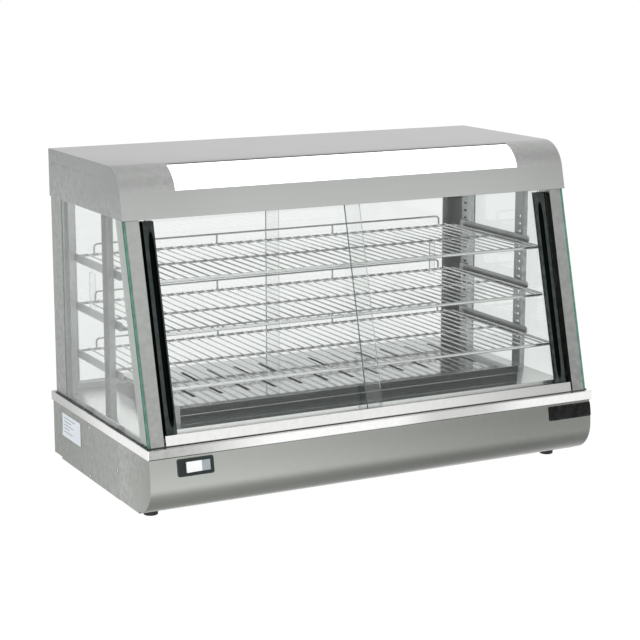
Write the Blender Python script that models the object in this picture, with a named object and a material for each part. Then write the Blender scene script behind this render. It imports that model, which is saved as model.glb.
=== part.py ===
"""Counter-top hot food display case: a sheet-metal base with a bulged front, glass sides,
sloping sliding doors in front, upright sliding doors behind, three wire shelves, and a lit hood.

Metres, +Z up. Lengths named *_y are measured back from the front edge of the trim frame; everything
hangs on one empty that centres the case on the origin. The operator stands behind, at +Y.
"""
import math

import bmesh
import bpy
from mathutils import Matrix, Vector

# ---- driving dimensions -------------------------------------------------------------------------
GAP = 0.0003            # clearance between pieces that touch
SHEET = 0.0010          # sheet steel
BULGE = 0.003           # how far the front panel stands proud of the trim frame
SWITCH_PROUD = 0.0085   # the rocker's raised end, the foremost point of all

TRIM_HALF = 0.460
TRIM_DEPTH = 0.4835
TRIM_BOTTOM, TRIM_TOP = 0.1253, 0.1420
BASE_HALF = 0.4575
BASE_TOP = TRIM_BOTTOM - GAP
BASE_BOTTOM = 0.0170
SEAM_Y = 0.140          # where the front panel's side returns meet the side panels
SIDE_BACK_Y = 0.4800
BACK_Y = 0.4660         # recessed back panel
FOOT_RADIUS, FOOT_X, FOOT_FRONT_Y, FOOT_BACK_Y = 0.013, 0.420, 0.090, 0.430

DECK_TOP = 0.1500
SILL_TOP = 0.1600
GLASS_BOTTOM = 0.1485

HOOD_HALF = 0.4565
HOOD_TOP, HOOD_BOTTOM = 0.6100, 0.5209
HOOD_BACK_Y = 0.4700
HOOD_LIP_Y = 0.1020     # lower front edge of the hood
HOOD_RADIUS = 0.060
WINDOW_HALF = 0.353     # lit window in the hood's curve
WINDOW_FROM, WINDOW_TO = 14.0, 74.0  # degrees down the curve
INNER_TOP = 0.5450      # top ends of glass, posts and uprights, hidden in the hood

# The sloping front: a plane leaning back, given by two heights. Depth behind it is called t.
LEAN_LOW_Y, LEAN_LOW_Z = 0.012, 0.1420
LEAN_HIGH_Y, LEAN_HIGH_Z = 0.108, 0.5209
LEAN = (LEAN_HIGH_Y - LEAN_LOW_Y) / (LEAN_HIGH_Z - LEAN_LOW_Z)
LEAN_COS = math.cos(math.atan(LEAN))

GLASS_OUT, GLASS_IN = 0.4548, 0.4495
FRONT_POST_OUT, FRONT_POST_IN = 0.4490, 0.4240
FRONT_POST_DEEP = 0.036
REAR_POST_OUT, REAR_POST_IN = 0.4540, 0.4040
REAR_POST_Y = (0.4140, 0.4684)
UPRIGHT_WEB, UPRIGHT_OUT = 0.4300, 0.4410
UPRIGHT_YS = {"front": 0.206, "rear": 0.404}
UPRIGHT_WIDE = 0.028
SLOT_PITCH = 0.0152
SLOT_HIGH, SLOT_WIDE = 0.0044, 0.014
SLOTS_BELOW, SLOTS_ABOVE = 2, 3      # spare slots under the lowest bracket and over the top one

# Front doors: the right one runs in the outer track, the left one in the inner track.
DOOR_WIDE = 0.438
DOOR_GLASS = 0.004
OUTER_T, INNER_T = 0.0145, 0.0270
HANDLE_WIDE, HANDLE_AHEAD, HANDLE_BEHIND = 0.0270, 0.0068, 0.0010
HANDLE_REBATE = 0.0065
HANDLE_BOTTOM, HANDLE_TOP = 0.1502, 0.5140
DOOR_BOTTOM = 0.1455    # lower edge of the front doors' glass, in the sill's grooves
RIGHT_DOOR_EDGE = 0.4222
LEFT_DOOR_EDGE = -0.4165
DOOR_TOP = 0.5400

REAR_OUTER_Y, REAR_INNER_Y = 0.4590, 0.4480
REAR_DOOR_HALF = 0.4490
REAR_OVERLAP = 0.012
REAR_TRACK_Y = (0.4440, 0.4666)

# Shelves, from the top down: bracket underside, and where the front rail runs.
SHELVES = {"upper": (0.4030, 0.1170), "middle": (0.3118, 0.1030), "lower": (0.2206, 0.0710)}
SHELF_HALF = 0.4180
SHELF_REAR_Y = 0.4420
WIRE = 0.0030
RAIL = 0.0050
WIRE_COUNT = 38
FENCE_HALF = 0.378
BRACKET_PLATE = (0.4260, 0.4278)
BRACKET_IN = 0.4060
BRACKET_HIGH = 0.0160
BRACKET_Y = (0.1780, 0.4300)
HOOK_LIFT = 0.0058       # height of a bracket's hooks over its underside

SWITCH_X, SWITCH_Z = -0.3725, 0.1052
BEZEL_WIDE, BEZEL_HIGH = 0.068, 0.031
ROCKER_WIDE, ROCKER_HIGH = 0.047, 0.0185
ROCKER_SHIFT = 0.0035    # the rocker sits off the bezel's middle
ROCKER_TIP = 5.0         # degrees either side of level

# The front panel's profile: a big arc above, a small one rolling under.
ROLL_RADIUS, ROLL_Z = 0.055, 0.0755
BELLY_RADIUS = 0.177

HEATER_HALF = 0.3565
HEATER_Y = (0.102, 0.400)
HEATER_TOP = 0.1820
HEATER_STEP = 0.1672

KNOB_X, KNOB_Z = 0.300, 0.075
GLAND_X, GLAND_Z = 0.385, 0.060

case = None


# ---- helpers ------------------------------------------------------------------------------------
def material(name, colour, roughness, metallic=0.0, transmission=0.0, glow=0.0):
    made = bpy.data.materials.get(name)
    if made:
        return made
    made = bpy.data.materials.new(name)
    made.use_nodes = True
    shader = made.node_tree.nodes["Principled BSDF"]
    shader.inputs["Base Color"].default_value = (*colour, 1.0)
    shader.inputs["Roughness"].default_value = roughness
    shader.inputs["Metallic"].default_value = metallic
    shader.inputs["Transmission Weight"].default_value = transmission
    if glow:
        shader.inputs["Emission Color"].default_value = (*colour, 1.0)
        shader.inputs["Emission Strength"].default_value = glow
    return made


def steel():
    return material("brushed_steel", (0.55, 0.55, 0.53), 0.38, 1.0)


def bright_steel():
    return material("bright_trim", (0.78, 0.78, 0.76), 0.25, 1.0)


def chrome():
    return material("chromed_wire", (0.75, 0.76, 0.75), 0.15, 1.0)


def black():
    return material("black_plastic", (0.02, 0.023, 0.022), 0.4)


def rubber():
    return material("black_rubber", (0.015, 0.015, 0.015), 0.8)


def clear_glass():
    return material("clear_glass", (0.9, 0.97, 0.94), 0.02, 0.0, 1.0)


def place(name, bm, look, origin=(0, 0, 0), turn=None):
    """One object from a bmesh given in case coordinates, with its own origin and turn."""
    bmesh.ops.recalc_face_normals(bm, faces=bm.faces[:])
    frame = Matrix.Translation(Vector(origin)) @ (turn or Matrix.Identity(4))
    bm.transform(frame.inverted())
    mesh = bpy.data.meshes.new(name)
    bm.to_mesh(mesh)
    bm.free()
    mesh.materials.append(look)
    obj = bpy.data.objects.new(name, mesh)
    bpy.context.collection.objects.link(obj)
    obj.parent = case
    obj.matrix_local = frame
    return obj


def helper(obj):
    obj.hide_render = True
    obj.display_type = "WIRE"
    return obj


def add_prism(bm, outline, axis, low, high):
    """Adds an outline extruded along X, Y or Z. The outline lies in the other two axes, in order."""
    spot = {"X": lambda a, b, c: (c, a, b), "Y": lambda a, b, c: (a, c, b),
            "Z": lambda a, b, c: (a, b, c)}
    rings = [[bm.verts.new(spot[axis](a, b, c)) for a, b in outline] for c in (low, high)]
    bridge(bm, rings)


def bridge(bm, rings):
    """Closed skin over rings of equal count, capped at both ends."""
    count = len(rings[0])
    for low, high in zip(rings, rings[1:]):
        for i in range(count):
            j = (i + 1) % count
            bm.faces.new((low[i], low[j], high[j], high[i]))
    bm.faces.new(rings[0][::-1])
    bm.faces.new(rings[-1])


def prism(name, outline, axis, low, high, look, origin=(0, 0, 0), turn=None):
    bm = bmesh.new()
    add_prism(bm, outline, axis, low, high)
    return place(name, bm, look, origin, turn)


def boxes(name, spans, look, origin=(0, 0, 0), turn=None):
    """Boxes given as ((x0, x1), (y0, y1), (z0, z1)), each a closed body of one mesh."""
    bm = bmesh.new()
    for (x0, x1), (y0, y1), (z0, z1) in spans:
        add_prism(bm, [(x0, y0), (x1, y0), (x1, y1), (x0, y1)], "Z", z0, z1)
    return place(name, bm, look, origin, turn)


def sided(side, near, far):
    """An X span on the left (side -1) or right (side 1) from two distances off the middle."""
    return tuple(sorted((side * near, side * far)))


def lean_y(t, z):
    """Y of the point at height z, t behind the sloping front."""
    return LEAN_LOW_Y + LEAN * (z - LEAN_LOW_Z) + t / LEAN_COS


def leaning(name, outline, low, high, look, origin=(0, 0, 0)):
    """A bar that follows the sloping front. Its outline is (x, t), cut level at both ends."""
    bm = bmesh.new()
    bridge(bm, [[bm.verts.new((x, lean_y(t, z), z)) for x, t in outline] for z in (low, high)])
    return place(name, bm, look, origin)


def arc(centre, radius, start, end, steps):
    """Points on a circle between two angles in degrees, 0 along the first axis."""
    turn = [math.radians(start + (end - start) * i / steps) for i in range(steps + 1)]
    return [(centre[0] + radius * math.cos(a), centre[1] + radius * math.sin(a)) for a in turn]


def boolean(obj, other, operation="DIFFERENCE"):
    modifier = obj.modifiers.new(operation.lower(), "BOOLEAN")
    modifier.operation = operation
    modifier.solver = "EXACT"
    modifier.object = helper(other)
    return obj


def smooth(obj, angle=35):
    obj.data.shade_smooth()
    obj.data.set_sharp_from_angle(angle=math.radians(angle))
    return obj


def turned(name, profile, look, origin, axis, sides=20):
    """A solid turned about an axis through origin. The profile is (radius, height) from end to end."""
    bm = bmesh.new()
    rings = []
    for radius, height in profile:
        rings.append([bm.verts.new((radius * math.cos(a), radius * math.sin(a), height))
                      for a in (2 * math.pi * i / sides for i in range(sides))])
    bridge(bm, rings)
    turn = Vector((0, 0, 1)).rotation_difference(Vector(axis)).to_matrix().to_4x4()
    bm.transform(Matrix.Translation(Vector(origin)) @ turn)
    return smooth(place(name, bm, look, origin, turn))


# ---- base ---------------------------------------------------------------------------------------
def belly_y(z, inset=0.0):
    """Y of the front panel's outer face at height z, moved in by inset."""
    if z >= ROLL_Z:
        centre, radius = -BULGE + BELLY_RADIUS, BELLY_RADIUS - inset
    else:
        centre, radius = -BULGE + ROLL_RADIUS, ROLL_RADIUS - inset
    return centre - math.sqrt(max(radius * radius - (z - ROLL_Z) ** 2, 0.0))


def belly_outline(inset, back_y, extra=0.0):
    """Front panel profile as (y, z): rolled under, up the belly, then square behind."""
    centre = (-BULGE + ROLL_RADIUS, ROLL_Z)
    roll = arc(centre, ROLL_RADIUS - inset, 270, 180, 9)
    top = BASE_TOP + extra
    belly = [(belly_y(z, inset), z) for z in (ROLL_Z + (top - ROLL_Z) * i / 4 for i in range(1, 5))]
    floor = BASE_BOTTOM - extra
    foot = [(back_y, floor), (roll[0][0], floor)]
    return foot + roll + belly + [(back_y, top)]


def make_front_panel():
    panel = prism("front_panel", belly_outline(0.0, SEAM_Y), "X", -BASE_HALF, BASE_HALF, steel())
    hollow = prism("front_panel_hollow", belly_outline(SHEET, SEAM_Y + 0.01, 0.004), "X",
                   -BASE_HALF + SHEET, BASE_HALF - SHEET, steel())
    boolean(panel, hollow)
    hole = boxes("switch_hole", [((ROCKER_SHIFT - 0.0265, ROCKER_SHIFT + 0.0265), (-0.010, 0.012),
                                  (-ROCKER_HIGH / 2 - 0.0020, ROCKER_HIGH / 2 + 0.0020))], steel())
    hole.matrix_local = switch_frame()
    boolean(panel, hole)
    return smooth(panel, 25)


def make_side_panel(side, label):
    z0, z1 = BASE_BOTTOM, BASE_TOP
    out, inner, flange = BASE_HALF, BASE_HALF - SHEET, BASE_HALF - 0.012
    outline = [(side * x, z) for x, z in
               ((out, z0), (out, z1), (flange, z1), (flange, z1 - SHEET), (inner, z1 - SHEET), (inner, z0))]
    panel = prism(f"side_panel_{label}", outline, "Y", SEAM_Y + GAP, SIDE_BACK_Y, steel())
    notch = boxes(f"side_notch_{label}", [(sided(side, 0.44, 0.47), (0.439, 0.50), (0.0, z0 + 0.004))],
                  steel())
    return boolean(panel, notch)


def make_base_pan():
    half, front, back = BASE_HALF - SHEET - GAP, 0.054, BACK_Y - GAP
    floor = 0.0206
    pan = boxes("base_pan", [((-half, half), (front, back), (floor, floor + 0.012))], steel())
    inside = boxes("base_pan_hollow", [((-half + SHEET, half - SHEET), (front + SHEET, back - SHEET),
                                        (floor + SHEET, floor + 0.03))], steel())
    return boolean(pan, inside)


def make_back_panel():
    half = BASE_HALF - SHEET - GAP
    panel = boxes("back_panel", [((-half, half), (BACK_Y, BACK_Y + SHEET), (0.0220, BASE_TOP - SHEET - GAP))],
                  steel())
    vents = [((-0.30 + 0.010 * i, -0.297 + 0.010 * i), (BACK_Y - 0.01, BACK_Y + 0.01), (0.045, 0.100))
             for i in range(24)]
    boolean(panel, boxes("back_vents", vents, steel()))
    bores = bmesh.new()
    for x, z, radius in ((KNOB_X, KNOB_Z, 0.0042), (GLAND_X, GLAND_Z, 0.0082)):
        add_prism(bores, arc((x, z), radius, 0, 337.5, 15), "Y", BACK_Y - 0.01, BACK_Y + 0.01)
    return boolean(panel, place("back_bores", bores, steel()))


def make_trim_frame():
    frame = boxes("trim_frame", [((-TRIM_HALF, TRIM_HALF), (0.0, TRIM_DEPTH), (TRIM_BOTTOM, TRIM_TOP))],
                  bright_steel())
    # An upstand round the opening carries the cabinet floor.
    upstand = boxes("trim_upstand", [((-0.400 - SHEET, 0.400 + SHEET), (0.062 - SHEET, 0.438 + SHEET),
                                      (TRIM_TOP - 0.005, DECK_TOP - SHEET - GAP))], steel())
    boolean(frame, upstand, "UNION")
    opening = boxes("trim_opening", [((-0.400, 0.400), (0.062, 0.438), (0.10, 0.16))], steel())
    boolean(frame, opening)
    # Folded, so open underneath: a channel all the way round.
    channel = boxes("trim_channel", [((-TRIM_HALF + SHEET, TRIM_HALF - SHEET), (SHEET, TRIM_DEPTH - SHEET),
                                      (0.10, TRIM_TOP - SHEET))], steel())
    core = boxes("trim_core", [((-0.400 - SHEET, 0.400 + SHEET), (0.062 - SHEET, 0.438 + SHEET), (0.09, 0.17))],
                 steel())
    boolean(channel, core)
    boolean(frame, channel)
    return frame


def make_feet():
    spots = {"front_left": (-FOOT_X, FOOT_FRONT_Y), "front_right": (FOOT_X, FOOT_FRONT_Y),
             "rear_left": (-FOOT_X, FOOT_BACK_Y), "rear_right": (FOOT_X, FOOT_BACK_Y)}
    profile = [(FOOT_RADIUS - 0.002, 0.0), (FOOT_RADIUS, 0.003), (FOOT_RADIUS, 0.0160), (0.009, 0.0203)]
    for label, (x, y) in spots.items():
        turned(f"foot_{label}", profile, rubber(), (x, y, 0.0), (0, 0, 1), 16)


def switch_frame():
    """Where the rocker switch sits on the belly, tipped back with it."""
    tip = math.asin((SWITCH_Z - ROLL_Z) / BELLY_RADIUS)
    return Matrix.Translation((SWITCH_X, belly_y(SWITCH_Z), SWITCH_Z)) @ Matrix.Rotation(-tip, 4, "X")


def rounded_rectangle(half_wide, half_high, radius, steps=3):
    corners = ((1, 1, 0), (-1, 1, 90), (-1, -1, 180), (1, -1, 270))
    points = []
    for sx, sz, start in corners:
        points += arc((sx * (half_wide - radius), sz * (half_high - radius)), radius, start, start + 90, steps)
    return points


def make_switch():
    """Bezel and rocker. The rocker's origin is on its pivot, upright in the panel, behind the face."""
    frame = switch_frame()
    bm = bmesh.new()
    add_prism(bm, rounded_rectangle(BEZEL_WIDE / 2, BEZEL_HIGH / 2, 0.003), "Y", -0.0030, -0.0006)
    bm.transform(frame)
    bezel = place("switch_bezel", bm, black(), turn=frame)
    body = boxes("switch_body", [((ROCKER_SHIFT - 0.026, ROCKER_SHIFT + 0.026), (-0.002, 0.022),
                                  (-ROCKER_HIGH / 2 - 0.0015, ROCKER_HIGH / 2 + 0.0015))], black())
    body.matrix_local = frame
    boolean(bezel, body, "UNION")
    well = boxes("switch_well", [((ROCKER_SHIFT - ROCKER_WIDE / 2 - 0.0006, ROCKER_SHIFT + ROCKER_WIDE / 2 + 0.0006),
                                  (-0.010, 0.0185), (-ROCKER_HIGH / 2 - 0.0004, ROCKER_HIGH / 2 + 0.0004))], black())
    well.matrix_local = frame
    boolean(bezel, well)

    # A shallow V seen from above, tipped so that one half is flush and the other stands proud.
    pivot = frame @ Matrix.Translation((ROCKER_SHIFT, 0.003, 0))
    half, face, tip = 0.0231, -0.00555, math.radians(ROCKER_TIP)
    end = face - half * math.sin(tip)
    outline = [(-half, end), (0.0, face), (half, end), (half - 0.002, -0.0010), (0.0060, 0.0060),
               (-0.0060, 0.0060), (-half + 0.002, -0.0010)]
    rocker = bmesh.new()
    add_prism(rocker, outline, "Z", -ROCKER_HIGH / 2, ROCKER_HIGH / 2)
    rocker.transform(pivot @ Matrix.Rotation(tip, 4, "Z"))
    place("switch_rocker", rocker, material("white_plastic", (0.82, 0.84, 0.84), 0.35), pivot.translation,
          pivot.to_3x3().to_4x4())


def make_badge():
    """Blank black plate that follows the belly."""
    zs = [0.0936 + 0.0269 * i / 4 for i in range(5)]
    outline = [(belly_y(z) - 0.0013, z) for z in zs] + [(belly_y(z) - GAP, z) for z in reversed(zs)]
    return prism("badge_plate", outline, "X", 0.3615, 0.4570, black())


def make_label():
    x = -BASE_HALF - GAP
    return boxes("rating_label", [((x - 0.0004, x), (0.333, 0.429), (0.0665, 0.1115))],
                 material("label_film", (0.80, 0.83, 0.88), 0.5))


def make_thermostat():
    boxes("thermostat_body", [((KNOB_X - 0.022, KNOB_X + 0.022), (BACK_Y - 0.034, BACK_Y - GAP),
                               (KNOB_Z - 0.022, KNOB_Z + 0.022))], material("bakelite", (0.16, 0.15, 0.14), 0.5))
    start = BACK_Y + SHEET + 0.0010
    profile = [(0.0034, -0.0006 - SHEET), (0.0034, 0.0), (0.0145, 0.0), (0.0150, 0.0030), (0.0115, 0.0045),
               (0.0105, 0.0142), (0.0095, 0.0150)]
    knob = turned("thermostat_knob", profile, black(), (KNOB_X, start, KNOB_Z), (0, 1, 0), 24)
    mark = boxes("knob_mark", [((-0.0008, 0.0008), (-0.0002, 0.0130), (0.0138, 0.0175))], black())
    mark.matrix_local = knob.matrix_local
    return boolean(knob, mark)


def make_gland():
    profile = [(0.0078, -0.0110), (0.0078, SHEET + 0.0006), (0.0110, SHEET + 0.0006), (0.0110, 0.0065),
               (0.0095, 0.0070), (0.0095, 0.0135), (0.0060, 0.0165)]
    return turned("cable_gland", profile, black(), (GLAND_X, BACK_Y, GLAND_Z), (0, 1, 0), 16)


# ---- cabinet floor and heater -------------------------------------------------------------------
def make_deck():
    """Flat floor sheet between the glass sides, lying on the trim frame's upstand."""
    return boxes("deck_plate", [((-0.4435, 0.4435), (0.0520, 0.4430), (DECK_TOP - SHEET, DECK_TOP))], steel())


def make_heater():
    bottom = DECK_TOP + GAP
    bm = bmesh.new()
    rings = []
    for z, inset in ((bottom, 0.0015), (HEATER_STEP, 0.0015), (HEATER_STEP + 0.0004, 0.0), (HEATER_TOP, 0.0)):
        x, y0, y1 = HEATER_HALF - inset, HEATER_Y[0] + inset, HEATER_Y[1] - inset
        rings.append([bm.verts.new((px, py, z)) for px, py in ((-x, y0), (x, y0), (x, y1), (-x, y1))])
    bridge(bm, rings)
    cover = place("heater_cover", bm, bright_steel())
    wall = 0.0015 + SHEET
    hollow = boxes("heater_hollow", [((-HEATER_HALF + wall, HEATER_HALF - wall),
                                      (HEATER_Y[0] + wall, HEATER_Y[1] - wall),
                                      (bottom - 0.01, HEATER_TOP - SHEET))], steel())
    boolean(cover, hollow)
    vents = [((x - 0.004, x + 0.004), (y, y + 0.075), (HEATER_TOP - 0.01, HEATER_TOP + 0.01))
             for y in (0.165, 0.275) for x in (-0.30 + 0.0545 * i for i in range(12))]
    boolean(cover, boxes("heater_vents", vents, steel()))

    # One rod bent to and fro, its cold ends turned to the back.
    x, z, bend = 0.310, 0.1665, 0.030
    path = [(-x + 0.02, 0.372)]
    for row, y in enumerate((0.330, 0.270, 0.210, 0.150)):
        left_to_right = row % 2 == 0
        near, far = (-x + bend, x - bend) if left_to_right else (x - bend, -x + bend)
        path += [(near, y), (far, y)]
        if row < 3:
            path += arc((far, y - bend), bend, 90, -90 if left_to_right else 270, 6)[1:-1]
    curve = bpy.data.curves.new("heating_element", "CURVE")
    curve.dimensions = "3D"
    curve.bevel_depth = 0.004
    curve.bevel_resolution = 1
    curve.use_fill_caps = True
    spline = curve.splines.new("POLY")
    spline.points.add(len(path) - 1)
    for point, (px, py) in zip(spline.points, path):
        point.co = (px, py, z, 1.0)
    curve.materials.append(material("element_sheath", (0.25, 0.24, 0.23), 0.5, 1.0))
    rod = bpy.data.objects.new("heating_element", curve)
    bpy.context.collection.objects.link(rod)
    rod.parent = case


# ---- posts, uprights and glass ------------------------------------------------------------------
def make_front_post(side, label):
    out, inner, deep = FRONT_POST_OUT, FRONT_POST_IN, FRONT_POST_DEEP
    outline = [(out, 0), (out, deep), (out - SHEET, deep), (out - SHEET, SHEET), (inner + SHEET, SHEET),
               (inner + SHEET, deep), (inner, deep), (inner, 0)]
    return leaning(f"front_post_{label}", [(side * x, t) for x, t in outline], TRIM_TOP + GAP, INNER_TOP, steel())


def make_rear_post(side, label):
    out, inner = REAR_POST_OUT, REAR_POST_IN
    y0, y1 = REAR_POST_Y
    outline = [(out, y0), (out, y1), (inner, y1), (inner, y1 - SHEET), (out - SHEET, y1 - SHEET),
               (out - SHEET, y0 + SHEET), (out - 0.010, y0 + SHEET), (out - 0.010, y0)]
    return prism(f"rear_post_{label}", [(side * x, y) for x, y in outline], "Z", TRIM_TOP + GAP, INNER_TOP, steel())


def slot_heights():
    lowest = SHELVES["lower"][0] + HOOK_LIFT
    return [lowest + SLOT_PITCH * k for k in range(-SLOTS_BELOW, 13 + SLOTS_ABOVE)]


def make_upright(side, label, row):
    web, out = UPRIGHT_WEB, UPRIGHT_OUT
    y0, y1 = UPRIGHT_YS[row], UPRIGHT_YS[row] + UPRIGHT_WIDE
    outline = [(web, y0), (out, y0), (out, y0 + SHEET), (web + SHEET, y0 + SHEET), (web + SHEET, y1 - SHEET),
               (out, y1 - SHEET), (out, y1), (web, y1)]
    name = f"upright_{row}_{label}"
    upright = prism(name, [(side * x, y) for x, y in outline], "Z", DECK_TOP + GAP, INNER_TOP, steel())
    middle = (y0 + y1) / 2
    slots = [(sided(side, web - 0.002, web + 0.003), (middle - SLOT_WIDE / 2, middle + SLOT_WIDE / 2),
              (z - SLOT_HIGH / 2, z + SLOT_HIGH / 2)) for z in slot_heights()]
    return boolean(upright, boxes(name + "_slots", slots, steel()))


def make_side_glass(side, label):
    y_low, y_high = lean_y(0.0015, TRIM_TOP), lean_y(0.0015, INNER_TOP)
    back = REAR_POST_Y[0] - 0.0006
    outline = [(y_low, TRIM_TOP + GAP), (back, TRIM_TOP + GAP), (back, INNER_TOP), (y_high, INNER_TOP)]
    x0, x1 = sided(side, GLASS_IN, GLASS_OUT)
    return prism(f"side_glass_{label}", outline, "X", x0, x1, clear_glass())


# ---- sliding doors ------------------------------------------------------------------------------
def track_outline(grooves, floor, lip, back_lip, start, end, open_z, y_of):
    """Profile of a two-groove track. Grooves are (from, to) depths, cut from open_z towards floor."""
    points = [(y_of(start, floor), floor), (y_of(start, lip), lip)]
    edge = lip
    for near, far in grooves:
        points += [(y_of(near, edge), edge), (y_of(near, open_z), open_z), (y_of(far, open_z), open_z),
                   (y_of(far, back_lip), back_lip)]
        edge = back_lip
    return points + [(y_of(end, back_lip), back_lip), (y_of(end, floor), floor)]


def make_front_tracks():
    clear = 0.0012
    grooves = [(t - clear, t + DOOR_GLASS + clear) for t in (OUTER_T, INNER_T)]
    # The sill is a channel with a thin front wall; the handles reach down behind it. It stops short of the posts.
    base, ribs, run = TRIM_TOP + GAP, HANDLE_BOTTOM - 0.0007, DOOR_BOTTOM - 0.0010
    profile = [(0.0, base), (0.0, SILL_TOP), (0.0015, SILL_TOP), (0.0015, ribs)]
    for near, far in grooves:
        profile += [(near, ribs), (near, run), (far, run), (far, ribs)]
    profile += [(0.0335, ribs), (0.0335, SILL_TOP - 0.001), (0.0350, SILL_TOP - 0.001), (0.0350, base)]
    reach = FRONT_POST_IN - 0.0035
    prism("front_sill", [(lean_y(t, z), z) for t, z in profile], "X", -reach, reach, bright_steel())
    reach = FRONT_POST_IN - 0.0005
    head = track_outline(grooves, 0.5475, 0.5230, 0.5230, 0.0020, 0.0370, DOOR_TOP + 0.0010, lean_y)
    prism("front_head_track", head, "X", -reach, reach, steel())


def make_front_door(label, glass_t, outer_edge, side):
    """Glass with a grooved handle on its outer edge. side is -1 for the left door."""
    x0, x1 = sorted((outer_edge, outer_edge - side * DOOR_WIDE))
    middle = ((x0 + x1) / 2, lean_y(glass_t, 0.34), 0.34)
    handle_in = outer_edge - side * HANDLE_WIDE
    glass_x = sorted((outer_edge - side * 0.0140, x0 if side > 0 else x1))
    glass = leaning(f"front_door_glass_{label}",
                    [(glass_x[0], glass_t), (glass_x[1], glass_t), (glass_x[1], glass_t + DOOR_GLASS),
                     (glass_x[0], glass_t + DOOR_GLASS)], DOOR_BOTTOM, DOOR_TOP, clear_glass(), middle)
    ahead, behind = glass_t - HANDLE_AHEAD, glass_t + DOOR_GLASS + HANDLE_BEHIND
    stop = outer_edge - side * (0.0140 - GAP)
    step, rebate = ahead + 0.0055, outer_edge - side * HANDLE_REBATE
    glass_back = glass_t + DOOR_GLASS + GAP
    outline = [(rebate, ahead), (rebate, step), (outer_edge, step), (outer_edge, behind), (handle_in, behind),
               (handle_in, glass_back), (stop, glass_back), (stop, glass_t - GAP), (handle_in, glass_t - GAP),
               (handle_in, ahead)]
    handle = leaning(f"front_door_handle_{label}", outline, HANDLE_BOTTOM, HANDLE_TOP, black(), middle)
    # Finger groove: a round channel with pointed ends.
    centre_x = outer_edge - side * (HANDLE_WIDE - 0.0080)
    groove = bmesh.new()
    rings = []
    for z, share in ((HANDLE_BOTTOM + 0.014, 0.12), (HANDLE_BOTTOM + 0.036, 1.0), (HANDLE_TOP - 0.040, 1.0),
                     (HANDLE_TOP - 0.015, 0.12)):
        rings.append([groove.verts.new((centre_x + 0.0055 * share * math.cos(a),
                                        lean_y(ahead - 0.0008 + 0.0058 * share * math.sin(a), z), z))
                      for a in (2 * math.pi * i / 12 for i in range(12))])
    bridge(groove, rings)
    boolean(handle, place(f"groove_{label}", groove, black()))
    return glass, handle


def make_rear_doors():
    clear = 0.0012
    grooves = [(REAR_INNER_Y - clear, REAR_INNER_Y + DOOR_GLASS + clear),
               (REAR_OUTER_Y - clear, REAR_OUTER_Y + DOOR_GLASS + clear)]
    reach = REAR_POST_OUT - SHEET - 0.0008
    plain = lambda y, z: y
    sill = track_outline(grooves, TRIM_TOP + GAP, SILL_TOP, SILL_TOP, *REAR_TRACK_Y, GLASS_BOTTOM - 0.0010,
                         plain)
    prism("rear_sill", sill, "X", -reach, reach, steel())
    head = track_outline(grooves, 0.5475, 0.5230, 0.5230, *REAR_TRACK_Y, DOOR_TOP + 0.0010, plain)
    prism("rear_head_track", head, "X", -reach, reach, steel())
    for label, side, y in (("left", -1, REAR_INNER_Y), ("right", 1, REAR_OUTER_Y)):
        x0, x1 = sorted((side * REAR_DOOR_HALF, -side * REAR_OVERLAP))
        middle = ((x0 + x1) / 2, y, 0.34)
        boxes(f"rear_door_glass_{label}", [((x0, x1), (y, y + DOOR_GLASS), (GLASS_BOTTOM, DOOR_TOP))],
              clear_glass(), middle)
        pull_y = y + DOOR_GLASS + GAP
        boxes(f"rear_door_pull_{label}", [(sided(side, 0.372, 0.384), (pull_y, pull_y + 0.0050), (0.300, 0.372))],
              material("clear_plastic", (0.85, 0.88, 0.87), 0.2, 0.0, 0.6), middle)


# ---- shelves ------------------------------------------------------------------------------------
def make_bracket(side, label, level):
    bottom = SHELVES[level][0]
    near, far = BRACKET_PLATE
    (y0, y1), top = BRACKET_Y, bottom + BRACKET_HIGH
    bm = bmesh.new()
    x0, x1 = sided(side, near, far)
    plate = [(y0 + 0.006, bottom), (y1, bottom), (y1, top), (y0 + 0.003, top), (y0, top - 0.004), (y0, bottom + 0.006)]
    add_prism(bm, plate, "X", x0, x1)
    bracket = place(f"bracket_{level}_{label}", bm, steel())
    ledge = [(sided(side, BRACKET_IN, near + 0.0008), (y0 + 0.010, y1 - 0.002), (bottom, bottom + 0.0015))]
    boolean(bracket, boxes(f"ledge_{level}_{label}", ledge, steel()), "UNION")
    hook_z = bottom + HOOK_LIFT
    hooks = []
    for row in UPRIGHT_YS.values():
        middle = row + UPRIGHT_WIDE / 2
        hooks.append((sided(side, far - 0.0008, UPRIGHT_WEB + 0.0045), (middle - 0.005, middle + 0.005),
                      (hook_z - 0.0016, hook_z + 0.0016)))
    return boolean(bracket, boxes(f"hooks_{level}_{label}", hooks, steel()), "UNION")


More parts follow.
